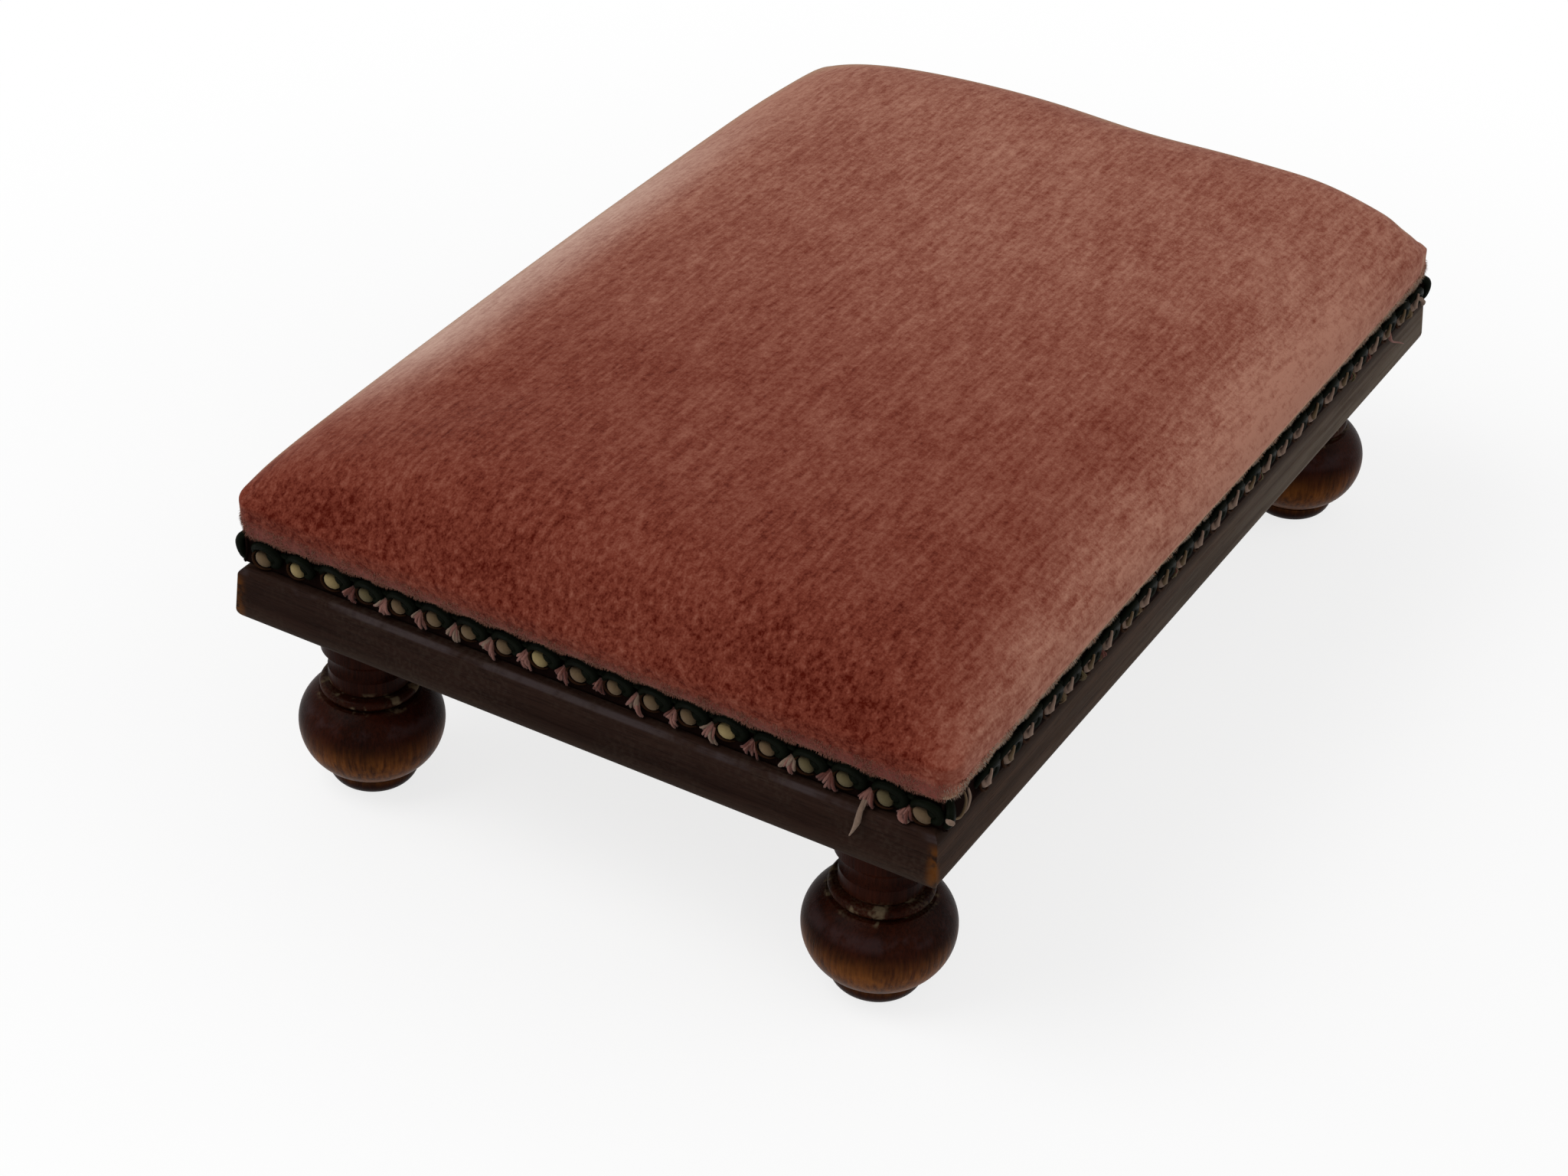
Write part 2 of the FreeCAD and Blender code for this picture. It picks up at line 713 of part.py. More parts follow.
def main():
    """Build the document, check it and write each node."""
    doc = FreeCAD.newDocument("Footstool")
    s = make_sheet(doc)
    add_rails(doc, s)
    for suffix, sign_x, sign_y in CORNERS:
        add_corner_block(doc, s, suffix, sign_x, sign_y)
        add_foot(doc, s, suffix, sign_x, sign_y)
    add_seat_board(doc, s)
    screws = [seat_screw(s, sign_x, sign_y) for _, sign_x, sign_y in CORNERS]
    shape_node(doc, "seat_screws", Part.makeCompound(screws))
    add_cushion(doc, s)
    add_gimp(doc, s)
    doc.recompute()
    check(doc)
    os.makedirs("parts", exist_ok=True)
    for name, node in NODES.items():
        node.Shape.exportStep(f"parts/{name}.step")
        print(f"{name}: {len(node.Shape.Solids)} solid(s), {node.Shape.Volume:.0f} mm3")


main()
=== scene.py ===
"""A small upholstered footstool: velvet pad, scroll gimp braid, moulded rails and turned bun feet."""
import logging
import math
import random
from dataclasses import dataclass
from enum import Enum
from typing import Iterable, Sequence

import bmesh
import bpy
import numpy as np
from mathutils import Matrix, Vector


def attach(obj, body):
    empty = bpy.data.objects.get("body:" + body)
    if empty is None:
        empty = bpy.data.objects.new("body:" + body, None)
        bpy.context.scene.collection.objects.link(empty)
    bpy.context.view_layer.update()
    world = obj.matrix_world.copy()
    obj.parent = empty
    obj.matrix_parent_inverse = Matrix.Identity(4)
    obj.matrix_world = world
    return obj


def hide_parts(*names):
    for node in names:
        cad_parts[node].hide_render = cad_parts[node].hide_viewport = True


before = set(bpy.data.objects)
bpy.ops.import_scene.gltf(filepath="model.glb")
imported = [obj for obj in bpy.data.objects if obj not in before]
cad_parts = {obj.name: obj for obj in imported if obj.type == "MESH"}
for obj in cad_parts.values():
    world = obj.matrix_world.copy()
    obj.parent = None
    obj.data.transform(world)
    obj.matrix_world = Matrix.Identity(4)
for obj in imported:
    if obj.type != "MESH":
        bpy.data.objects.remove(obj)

LOG = logging.getLogger("footstool")
MM = 0.001
ROOT = "root"
CORNERS = ("front_left", "front_right", "back_right", "back_left")
UP = Vector((0.0, 0.0, 1.0))
WHITE = (1.0, 1.0, 1.0)

Colour = tuple[float, float, float]
Point = tuple[float, float, float]
Band = tuple[float, float]
Faces = Sequence[Sequence[int]]
Socket = bpy.types.NodeSocket
Inputs = dict[str | int, object]
Skin = tuple[list[Vector], list[tuple[int, ...]], list[list[int]]]


# Mesh helpers

def new_object(name: str, points: Sequence[Sequence[float]], faces: Faces) -> bpy.types.Object:
    """Make a smooth-shaded mesh object at the origin of the frame.

    Args:
        name: The piece's name.
        points: Places of the vertices, in metres.
        faces: Vertex numbers of each face.

    Returns:
        The new object, linked to the scene.
    """
    mesh = bpy.data.meshes.new(name)
    mesh.from_pydata([tuple(point) for point in points], [], [tuple(face) for face in faces])
    mesh.validate()
    for polygon in mesh.polygons:
        polygon.use_smooth = True
    piece = bpy.data.objects.new(name, mesh)
    bpy.context.scene.collection.objects.link(piece)
    return piece


def vertex_normals(points: Sequence[Vector], faces: Faces) -> list[Vector]:
    """The normal of a mesh at each of its vertices.

    Args:
        points: Places of the vertices.
        faces: Vertex numbers of each face.

    Returns:
        The normals.
    """
    form = new_object("form", points, faces)
    normals = [Vector(vertex.normal) for vertex in form.data.vertices]
    bpy.data.objects.remove(form)
    return normals


def dress(piece: bpy.types.Object, material: bpy.types.Material) -> None:
    """Give a piece one material in place of its own."""
    piece.data.materials.clear()
    piece.data.materials.append(material)


def settle(piece: bpy.types.Object, slot: str, *nodes: str) -> None:
    """Ride a piece on the stool and hide the solids that it replaces.

    Args:
        piece: The finished piece.
        slot: Not used.
        nodes: The solids that it replaces.
    """
    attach(piece, ROOT)
    if nodes:
        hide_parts(*nodes)
    LOG.info("%s: %d faces", piece.name, len(piece.data.polygons))


def smoothstep(low: float, high: float, value: float) -> float:
    """Ease from 0 at low to 1 at high."""
    share = min(max((value - low) / (high - low), 0.0), 1.0)
    return share * share * (3.0 - 2.0 * share)


def smooth_path(places: Sequence[Vector], radii: Sequence[float],
                steps: int) -> tuple[list[Vector], list[float]]:
    """Round a line of points with a curve through them.

    Args:
        places: Points of the line.
        radii: The radius at each.
        steps: Points of the curve for each stretch.

    Returns:
        Points of the curve and their radii.
    """
    path: list[Vector] = []
    sizes: list[float] = []
    last = len(places) - 1
    for index in range(last):
        before, start = places[max(index - 1, 0)], places[index]
        end, after = places[index + 1], places[min(index + 2, last)]
        for step in range(steps):
            t = step / steps
            square = (before * 2.0 - start * 5.0 + end * 4.0 - after) * t * t
            cube = (start * 3.0 - before - end * 3.0 + after) * t * t * t
            path.append((start * 2.0 + (end - before) * t + square + cube) * 0.5)
            sizes.append(radii[index] * (1.0 - t) + radii[index + 1] * t)
    path.append(places[-1])
    sizes.append(radii[-1])
    return path, sizes


class MeshSink:
    """Gathers the vertices and faces of a piece that is made of many small forms."""

    def __init__(self) -> None:
        """Start with nothing gathered."""
        self.points: list[Vector] = []
        self.faces: list[tuple[int, ...]] = []
        self.slots: list[int] = []

    def add(self, points: Iterable[Vector], faces: Faces, slot: int = 0) -> None:
        """Take in one form.

        Args:
            points: Its vertices.
            faces: Its faces, counted from its own first vertex.
            slot: The material slot of its faces.
        """
        first = len(self.points)
        self.points.extend(points)
        for face in faces:
            self.faces.append(tuple(first + index for index in face))
            self.slots.append(slot)

    def tube(self, path: Sequence[Vector], radii: Sequence[float], sides: int, slot: int = 0,
             flat: float = 1.0) -> None:
        """Sweep a round or flattened section along a path.

        Args:
            path: Points of the middle line.
            radii: The radius at each point.
            sides: Sides of the section.
            slot: The material slot of its faces.
            flat: Thickness of the section over its width.
        """
        last = len(path) - 1
        rings: list[Vector] = []
        across = UP
        for index, centre in enumerate(path):
            along = (path[min(index + 1, last)] - path[max(index - 1, 0)]).normalized()
            across = (across - along * across.dot(along)).normalized()
            side = along.cross(across)
            for step in range(sides):
                angle = 2.0 * math.pi * step / sides
                offset = across * math.cos(angle) * flat + side * math.sin(angle)
                rings.append(centre + offset * radii[index])
        faces = []
        for low in range(0, last * sides, sides):
            for step in range(sides):
                turn = (step + 1) % sides
                faces.append((low + step, low + turn, low + sides + turn, low + sides + step))
        faces.append(tuple(reversed(range(sides))))
        faces.append(tuple(range(last * sides, (last + 1) * sides)))
        self.add(rings, faces, slot)

    def dome(self, centre: Vector, axes: tuple[Vector, Vector, Vector], slot: int, rings: int,
             sides: int) -> None:
        """Add a closed oval form.

        Args:
            centre: Its middle.
            axes: Its half axes: width, height and thickness.
            slot: The material slot of its faces.
            rings: Rings of faces from pole to pole.
            sides: Faces in a ring.
        """
        width, height, thick = axes
        points = [centre + thick]
        for ring in range(1, rings):
            tilt = math.pi * ring / rings
            for step in range(sides):
                turn = 2.0 * math.pi * step / sides
                flat = math.sin(tilt)
                points.append(centre + width * flat * math.cos(turn) + height * flat * math.sin(turn)
                              + thick * math.cos(tilt))
        points.append(centre - thick)
        faces: list[tuple[int, ...]] = []
        last = 1 + (rings - 2) * sides
        for step in range(sides):
            turn = (step + 1) % sides
            faces.append((0, 1 + step, 1 + turn))
            faces.append((last + turn, last + step, len(points) - 1))
            for low in range(1, last, sides):
                faces.append((low + step, low + sides + step, low + sides + turn, low + turn))
        self.add(points, faces, slot)

    def piece(self, name: str, materials: Iterable[bpy.types.Material]) -> bpy.types.Object:
        """Turn what was gathered into an object.

        Args:
            name: The piece's name.
            materials: One material for each slot.

        Returns:
            The new object.
        """
        made = new_object(name, self.points, self.faces)
        for material in materials:
            made.data.materials.append(material)
        made.data.polygons.foreach_set("material_index", self.slots)
        made.data.update()
        return made


# Shader helpers

class Shader:
    """A thin hand on one node tree, for a material or a group."""

    def __init__(self, tree: bpy.types.NodeTree) -> None:
        """Start from a tree whose nodes were cleared."""
        self.tree = tree

    def feed(self, node: bpy.types.Node, inputs: Inputs) -> None:
        """Set or link a node's inputs.

        Args:
            node: The node.
            inputs: For each input's name or number, a constant or an output socket.
        """
        for key, value in inputs.items():
            socket = node.inputs[key]
            if isinstance(value, Socket):
                self.tree.links.new(value, socket)
            elif socket.type == "RGBA" and len(value) == 3:
                socket.default_value = (*value, 1.0)
            else:
                socket.default_value = value

    def node(self, kind: str, inputs: Inputs | None = None, **settings: object) -> bpy.types.Node:
        """Add a node.

        Args:
            kind: The node's type, without its ShaderNode prefix.
            inputs: What its inputs take, as in feed.
            settings: The node's own properties.

        Returns:
            The new node.
        """
        made = self.tree.nodes.new(f"ShaderNode{kind}")
        for key, value in settings.items():
            setattr(made, key, value)
        self.feed(made, inputs or {})
        return made

    def group(self, tree: bpy.types.NodeTree, **inputs: object) -> bpy.types.Node:
        """Place a node group and set its inputs."""
        return self.node("Group", inputs, node_tree=tree)

    def math(self, operation: str, *values: object) -> Socket:
        """A Math node's result, not clamped."""
        return self.node("Math", dict(enumerate(values)), operation=operation).outputs[0]

    def times(self, *values: object) -> Socket:
        """The product of two or more values.

        Args:
            values: The values, numbers or sockets.

        Returns:
            The product.
        """
        product = values[0]
        for value in values[1:]:
            product = self.math("MULTIPLY", product, value)
        return product

    def madd(self, value: object, factor: object, addend: object) -> Socket:
        """A value times a factor, and another value added."""
        return self.math("MULTIPLY_ADD", value, factor, addend)

    def mask(self, value: object, low: float, high: float) -> Socket:
        """A value eased from 0 at low to 1 at high."""
        made = self.node("MapRange", {"Value": value, "From Min": low, "From Max": high},
                         interpolation_type="SMOOTHSTEP")
        return made.outputs["Result"]

    def band(self, value: object, rise: Band, fall: Band) -> Socket:
        """A value eased in over one stretch and out over another."""
        return self.times(self.mask(value, *rise), self.mask(value, *fall))

    def ramp(self, value: object, low: float, high: float) -> Socket:
        """A value taken evenly from 0 at low to 1 at high."""
        return self.node("MapRange", {"Value": value, "From Min": low, "From Max": high}).outputs["Result"]

    def mix(self, share: object, first: object, second: object) -> Socket:
        """Two colours mixed by a share, which may be a mask."""
        return self.node("Mix", {0: share, 6: first, 7: second}, data_type="RGBA").outputs[2]

    def noise(self, place: object, scale: object, detail: float = 2.0, rough: float = 0.5,
              bend: float = 0.0) -> Socket:
        """The value of a noise texture at a place.

        Args:
            place: The place.
            scale: The texture's scale, or the scale of each axis.
            detail: How many finer sizes are added.
            rough: The weight of the finer sizes.
            bend: How far the place is bent.

        Returns:
            The value.
        """
        if isinstance(scale, tuple):
            place = self.node("VectorMath", {0: place, 1: scale}, operation="MULTIPLY").outputs[0]
            scale = 1.0
        made = self.node("TexNoise", {"Vector": place, "Scale": scale, "Detail": detail,
                                      "Roughness": rough, "Distortion": bend})
        return made.outputs[0]

    def part(self, place: object, axis: str) -> Socket:
        """One coordinate of a place."""
        return self.node("SeparateXYZ", {0: place}).outputs[axis]

    def reach(self, place: object, axis: str) -> Socket:
        """A coordinate of a place without its sign."""
        return self.math("ABSOLUTE", self.part(place, axis))

    def bump(self, height: object, distance: float, strength: float) -> Socket:
        """A normal from a height."""
        return self.node("Bump", {"Height": height, "Distance": distance, "Strength": strength}).outputs[0]


def new_material(name: str) -> tuple[bpy.types.Material, Shader, bpy.types.Node, Socket]:
    """Start a node material.

    Args:
        name: The material's name.

    Returns:
        The material, its shader hand, its output node and its place in the frame.
    """
    material = bpy.data.materials.new(name)
    material.use_nodes = True
    material.node_tree.nodes.clear()
    shader = Shader(material.node_tree)
    return material, shader, shader.node("OutputMaterial"), shader.node("TexCoord").outputs["Object"]


def surface_material(name: str) -> tuple[bpy.types.Material, Shader, bpy.types.Node, Socket]:
    """Start a material with a Principled surface.

    Args:
        name: The material's name.

    Returns:
        The material, its shader hand, its Principled node and its place in the frame.
    """
    material, shader, output, place = new_material(name)
    surface = shader.node("BsdfPrincipled")
    shader.feed(output, {"Surface": surface.outputs[0]})
    return material, shader, surface, place


class Group:
    """Builds a node group with named inputs and outputs."""

    def __init__(self, name: str, inputs: dict[str, object], outputs: dict[str, str]) -> None:
        """Make the group and its sockets.

        Args:
            name: The group's name.
            inputs: Default of each input: a number, a colour, or a place where it is None.
            outputs: Kind of each output: Color, Float or Vector.
        """
        self.tree = bpy.data.node_groups.new(name, "ShaderNodeTree")
        for key, value in inputs.items():
            kind = {float: "NodeSocketFloat", tuple: "NodeSocketColor"}.get(type(value), "NodeSocketVector")
            socket = self.tree.interface.new_socket(key, in_out="INPUT", socket_type=kind)
            if value is not None:
                socket.default_value = (*value, 1.0) if isinstance(value, tuple) else value
        for key, kind in outputs.items():
            self.tree.interface.new_socket(key, in_out="OUTPUT", socket_type=f"NodeSocket{kind}")
        self.shader = Shader(self.tree)
        self.inside = self.tree.nodes.new("NodeGroupInput").outputs
        self.end = self.tree.nodes.new("NodeGroupOutput")

    def close(self, **results: Socket) -> bpy.types.NodeTree:
        """Link the results to the outputs.

        Args:
            results: The socket that each output gives.

        Returns:
            The finished group.
        """
        self.shader.feed(self.end, results)
        return self.tree


class Effects:
    """The effects that more than one finish uses, each built once."""

    def __init__(self) -> None:
        """Build the groups."""
        self.grain = self._grain()
        self.dust = self._dust()
        self.blotch = self._blotch()

    def _grain(self) -> bpy.types.NodeTree:
        """Long fibres, pores and slow colour bands; the place's X runs along the wood.

        Returns:
            The group.
        """
        inputs = {"Place": None, "Light": (0.3, 0.2, 0.1), "Dark": (0.1, 0.06, 0.03), "Pores": 0.5}
        group = Group("wood_grain", inputs, {"Color": "Color", "Height": "Float"})
        shader, inside = group.shader, group.inside
        soft_edge = (0.3, 0.7)
        bands = shader.noise(inside["Place"], (4.0, 60.0, 60.0), 4.0, 0.55, 0.6)
        fibres = shader.noise(inside["Place"], (45.0, 1300.0, 1300.0), 3.0, 0.6)
        pores = shader.noise(inside["Place"], (160.0, 2300.0, 2300.0), 1.0)
        pits = shader.times(shader.mask(pores, 0.58, 0.68), inside["Pores"])
        fine = shader.times(shader.mask(fibres, *soft_edge), 0.4)
        share = shader.madd(shader.mask(bands, *soft_edge), 0.6, fine)
        colour = shader.mix(share, inside["Dark"], inside["Light"])
        colour = shader.mix(shader.times(pits, 0.8), colour, inside["Dark"])
        return group.close(Color=colour, Height=shader.math("SUBTRACT", shader.times(fibres, 0.5), pits))

    def _dust(self) -> bpy.types.NodeTree:
        """Patches and specks of settled dust.

        Returns:
            The group.
        """
        group = Group("dust", {"Place": None, "Amount": 0.5, "Scale": 300.0}, {"Mask": "Float"})
        shader, inside = group.shader, group.inside
        masks = []
        for factor, edge in ((0.25, (0.35, 0.7)), (3.0, (0.4, 0.65))):
            spots = shader.noise(inside["Place"], shader.times(inside["Scale"], factor), 3.0)
            masks.append(shader.mask(spots, *edge))
        return group.close(Mask=shader.times(*masks, inside["Amount"]))

    def _blotch(self) -> bpy.types.NodeTree:
        """Three sizes of soft patches added up, about 0.5 in the middle.

        Returns:
            The group.
        """
        group = Group("blotch", {"Place": None, "Scale": 30.0}, {"Value": "Float"})
        shader, inside = group.shader, group.inside
        total: object = 0.0
        for factor, weight in ((1.0, 0.5), (3.1, 0.3), (9.7, 0.2)):
            patches = shader.noise(inside["Place"], shader.times(inside["Scale"], factor))
            total = shader.madd(patches, weight, total)
        return group.close(Value=total)


# Finishes

@dataclass(frozen=True)
class Patch:
    """A soft-edged area of the pad, in shares of its half length and half width, and its strength."""

    amount: float
    along: tuple[Band, ...]
    side: tuple[Band, ...] = ()

    def share(self, shader: Shader, along: object, side: object) -> Socket:
        """The area's strength at a place.

        Args:
            shader: The material's hand.
            along: The place's share of the half length.
            side: Its share of the half width.

        Returns:
            The amount within the area, easing to 0 outside it.
        """
        masks = [shader.mask(along, *band) for band in self.along]
        masks += [shader.mask(side, *band) for band in self.side]
        return shader.times(*masks, self.amount)


@dataclass(frozen=True)
class VelvetFinish:
    """Dusty rose cut velvet: deep red where the pile is brushed down, paler along the shoulders as painted
    sheen; with painted shade on the left end, a painted highlight on the back shoulder and a painted sheen
    rim low on the front.
    """

    deep: Colour = (0.062, 0.0045, 0.0015)
    rich: Colour = (0.150, 0.031, 0.018)
    middle: Colour = (0.225, 0.072, 0.047)
    pale: Colour = (0.36, 0.165, 0.115)
    mauve: Colour = (0.17, 0.050, 0.042)
    # Colour of the painted sheen rim.
    rim: Colour = (0.31, 0.20, 0.12)
    # Colour of the painted highlight on the back shoulder.
    painted_highlight: Colour = (0.56, 0.40, 0.33)
    half_length: float = 0.163
    half_width: float = 0.1138
    base: float = 0.16
    # Patches that lighten the pile: towards the +X end for the nap, and along both long shoulders as painted
    # sheen.
    nap_and_sheen: tuple[Patch, ...] = (
        Patch(0.48, ((-1.0, 0.75),)),
        Patch(0.44, ((-1.0, -0.55),), ((0.55, 1.0),)),
        Patch(0.42, ((-1.15, -0.55), (0.95, 0.25)), ((-0.76, -1.0),)),
        Patch(0.20, ((-0.45, -0.8),), ((-0.85, -1.0),)),
    )
    # Painted sheen: lighter pile where the surface faces the front.
    front_sheen: Patch = Patch(0.12, ((-1.15, -0.55), (0.95, 0.25)))
    # Where the painted highlight lies on the back shoulder.
    back_highlight: Patch = Patch(1.0, ((-0.80, -0.45), (0.74, 0.1)), ((0.68, 1.0),))
    left_turn: Band = (-0.35, -0.85)
    front_turn: Band = (-0.25, -0.8)
    # Normals where the front's lower edge turns under, which take the painted sheen rim.
    under_turn: Band = (-0.10, -0.45)
    under_front_turn: Band = (-0.30, -0.65)
    # Painted shade: how much darker the left end face is.
    end_shade: float = 0.08
    end_low: Band = (0.0915, 0.0865)
    # Facing values that take the painted sheen at grazing angles.
    grazing_sheen: Band = (0.80, 0.98)
    roughness: float = 0.92
    specular: float = 0.02
    sheen: float = 0.16
    sheen_roughness: float = 0.4
    sheen_tint: Colour = (1.0, 0.72, 0.60)

    def build(self, effects: Effects) -> bpy.types.Material:
        """Make the velvet.

        Args:
            effects: The shared groups.

        Returns:
            The material.
        """
        material, shader, surface, place = surface_material("velvet")
        facing = shader.node("NewGeometry").outputs["Normal"]
        left_face = shader.mask(shader.part(facing, "X"), *self.left_turn)
        front_face = shader.mask(shader.part(facing, "Y"), *self.front_turn)
        along = shader.math("DIVIDE", shader.part(place, "X"), self.half_length)
        side = shader.math("DIVIDE", shader.part(place, "Y"), self.half_width)
        value: object = self.base
        # Lighter pile patches: nap, and painted sheen along the shoulders.
        for patch in self.nap_and_sheen:
            value = shader.math("ADD", patch.share(shader, along, side), value)
        # Painted sheen on front-facing pile.
        value = shader.madd(self.front_sheen.share(shader, along, side), front_face, value)
        # Painted shade on the left end face, deeper towards its corners.
        outer = shader.mask(shader.math("ABSOLUTE", side), 0.0, 0.8)
        left_shade = shader.madd(outer, -self.end_shade, -self.end_shade)
        value = shader.madd(left_face, left_shade, value)
        lively = shader.madd(shader.mask(value, 0.2, 0.8), 0.35, 0.82)
        brushed = shader.group(effects.blotch, Place=place, Scale=20.0).outputs[0]
        small = shader.group(effects.blotch, Place=place, Scale=130.0).outputs[0]
        streaks = shader.noise(place, (85.0, 640.0, 640.0), 3.0, 0.6, 0.3)
        pile = shader.noise(place, 520.0, 3.0, 0.6)
        grit = shader.noise(place, 1700.0, 1.0)
        fleck: object = 0.0
        for part, weight in ((brushed, 0.75), (small, 0.5), (streaks, 1.1), (pile, 0.95), (grit, 0.6)):
            fleck = shader.madd(shader.math("SUBTRACT", part, 0.5), weight, fleck)
        value = shader.madd(fleck, lively, value)
        colour: object = self.deep
        for low, high, tone in ((-0.2, 0.15, self.rich), (0.15, 0.5, self.middle), (0.5, 1.1, self.pale)):
            colour = shader.mix(shader.ramp(value, low, high), colour, tone)
        # Painted highlight on the back shoulder, flecked with the pile.
        painted_highlight = shader.times(self.back_highlight.share(shader, along, side), shader.madd(fleck, 0.5, 0.60))
        colour = shader.mix(painted_highlight, colour, self.painted_highlight)
        low_end = shader.times(shader.mask(shader.part(place, "Z"), *self.end_low), left_face, 0.65)
        colour = shader.mix(low_end, colour, self.mauve)
        # Painted sheen rim where the front's lower edge turns under.
        edge = shader.times(shader.mask(shader.part(facing, "Z"), *self.under_turn),
                            shader.mask(shader.part(facing, "Y"), *self.under_front_turn), 0.75)
        colour = shader.mix(edge, colour, self.rim)
        # Painted sheen at grazing angles, from the Layer Weight's facing.
        grazing_sheen = shader.node("LayerWeight", {"Blend": 0.5}).outputs["Facing"]
        colour = shader.mix(shader.times(shader.mask(grazing_sheen, *self.grazing_sheen), 0.7), colour, self.rim)
        nap = shader.madd(pile, 0.6, shader.times(streaks, 0.4))
        shader.feed(surface, {
            "Base Color": colour, "Normal": shader.bump(nap, 0.0008, 0.6), "Roughness": self.roughness,
            "Specular IOR Level": self.specular, "Sheen Weight": self.sheen,
            "Sheen Roughness": self.sheen_roughness, "Sheen Tint": self.sheen_tint})
        return material


class GrainWay(Enum):
    """Which way the wood's grain runs."""

    ALONG_X = (0.0, 0.0, 0.0)
    ALONG_Y = (0.0, 0.0, math.pi / 2)
    ALONG_Z = (0.0, math.pi / 2, 0.0)

    def turn(self, shader: Shader, place: object) -> Socket:
        """A place turned so that its X runs along the grain."""
        return shader.node("Mapping", {"Vector": place, "Rotation": self.value}).outputs[0]


@dataclass(frozen=True)
class RailFinish:
    """Dark stained rail under an old, dusty satin varnish, worn at its corner arrises; with a painted
    highlight along its top arris, painted shadow under the braid, a grey film of dust and painted reflection
    on the long rails, and a painted floor reflection low on its face.
    """

    light: Colour = (0.0235, 0.0112, 0.0078)
    dark: Colour = (0.0070, 0.0026, 0.0016)
    worn: Colour = (0.085, 0.028, 0.0050)
    # Colour of the painted highlight along the top arris.
    arris_highlight: Colour = (0.040, 0.029, 0.029)
    # Colour of the film: dust, and the painted reflections.
    dust_colour: Colour = (0.115, 0.092, 0.070)
    # Strength of the grey film of dust and painted reflection on the long rails.
    dust_and_reflection: float = 0.0
    # Strength of the painted shadow under the braid, on the long rails.
    braid_shadow_strength: float = 0.0
    roughness: float = 0.55
    specular: float = 0.02
    corner_x: Band = (0.1600, 0.1628)
    corner_y: Band = (0.1058, 0.1092)
    corner_low: Band = (0.0735, 0.0690)
    rubbed_edge: Band = (0.38, 0.60)
    # Normals and patches of the painted arris highlight.
    ridge_rise: Band = (0.10, 0.45)
    ridge_fall: Band = (0.98, 0.80)
    ridge_patch: Band = (0.38, 0.56)
    # Heights of the painted shadow under the braid.
    under_braid: Band = (0.0695, 0.0722)
    # Where the grey film is stronger: low on the face and towards +X.
    haze_low: Band = (0.0735, 0.0610)
    haze_right: Band = (-0.20, 0.15)
    # Heights of the painted floor reflection on the lower edge.
    low_edge_reflection: Band = (0.064, 0.0585)

    def build(self, effects: Effects, way: GrainWay) -> bpy.types.Material:
        """Make the wood of a rail.

        Args:
            effects: The shared groups.
            way: Which way the rail runs.

        Returns:
            The material.
        """
        material, shader, surface, place = surface_material(f"rail_wood_{way.name.lower()}")
        lengthwise = way.turn(shader, place)
        grain = shader.group(effects.grain, Place=lengthwise, Light=self.light, Dark=self.dark,
                             Pores=0.6).outputs
        dust = shader.group(effects.dust, Place=place, Amount=0.3, Scale=260.0).outputs[0]
        blotch = shader.group(effects.blotch, Place=place, Scale=35.0).outputs[0]
        height = shader.part(place, "Z")
        level = shader.part(shader.node("NewGeometry").outputs["Normal"], "Z")
        rubbed = shader.noise(place, 230.0, 3.0, 0.6)
        corner = shader.times(shader.mask(shader.reach(place, "X"), *self.corner_x),
                              shader.mask(shader.reach(place, "Y"), *self.corner_y),
                              shader.mask(height, *self.corner_low), shader.mask(rubbed, *self.rubbed_edge))
        colour = shader.mix(corner, grain["Color"], self.worn)
        # Painted highlight along the rounded top arris, in patches.
        ridge_highlight = shader.times(shader.band(level, self.ridge_rise, self.ridge_fall),
                             shader.mask(blotch, *self.ridge_patch), 0.85 * (1.0 - self.braid_shadow_strength))
        colour = shader.mix(ridge_highlight, colour, self.arris_highlight)
        # Painted shadow on the rail's top just under the braid.
        braid_shadow = shader.times(shader.mask(height, *self.under_braid), self.braid_shadow_strength)
        colour = shader.mix(braid_shadow, colour, self.dark)
        streaks = shader.noise(lengthwise, (16.0, 430.0, 430.0), 3.0, 0.6)
        # Grey film of dust and painted reflection, stronger low on the face and towards +X, in lengthwise
        # streaks.
        dust_and_reflection = shader.times(shader.madd(shader.mask(height, *self.haze_low), 0.45, 0.55),
                            shader.mask(shader.part(place, "X"), *self.haze_right),
                            shader.math("SUBTRACT", 1.0, braid_shadow), self.dust_and_reflection,
                            shader.madd(shader.mask(streaks, 0.35, 0.65), 0.9, 0.45))
        # Painted floor reflection on the lower edge, then the dust and the grey film.
        film = shader.madd(shader.mask(height, *self.low_edge_reflection), 0.10, shader.madd(dust, 0.25, dust_and_reflection))
        rough = shader.madd(dust, 0.5, shader.madd(blotch, 0.22, self.roughness - 0.08))
        shader.feed(surface, {
            "Base Color": shader.mix(film, colour, self.dust_colour), "Roughness": rough,
            "Normal": shader.bump(grain["Height"], 0.00018, 0.7), "Specular IOR Level": self.specular})
        return material


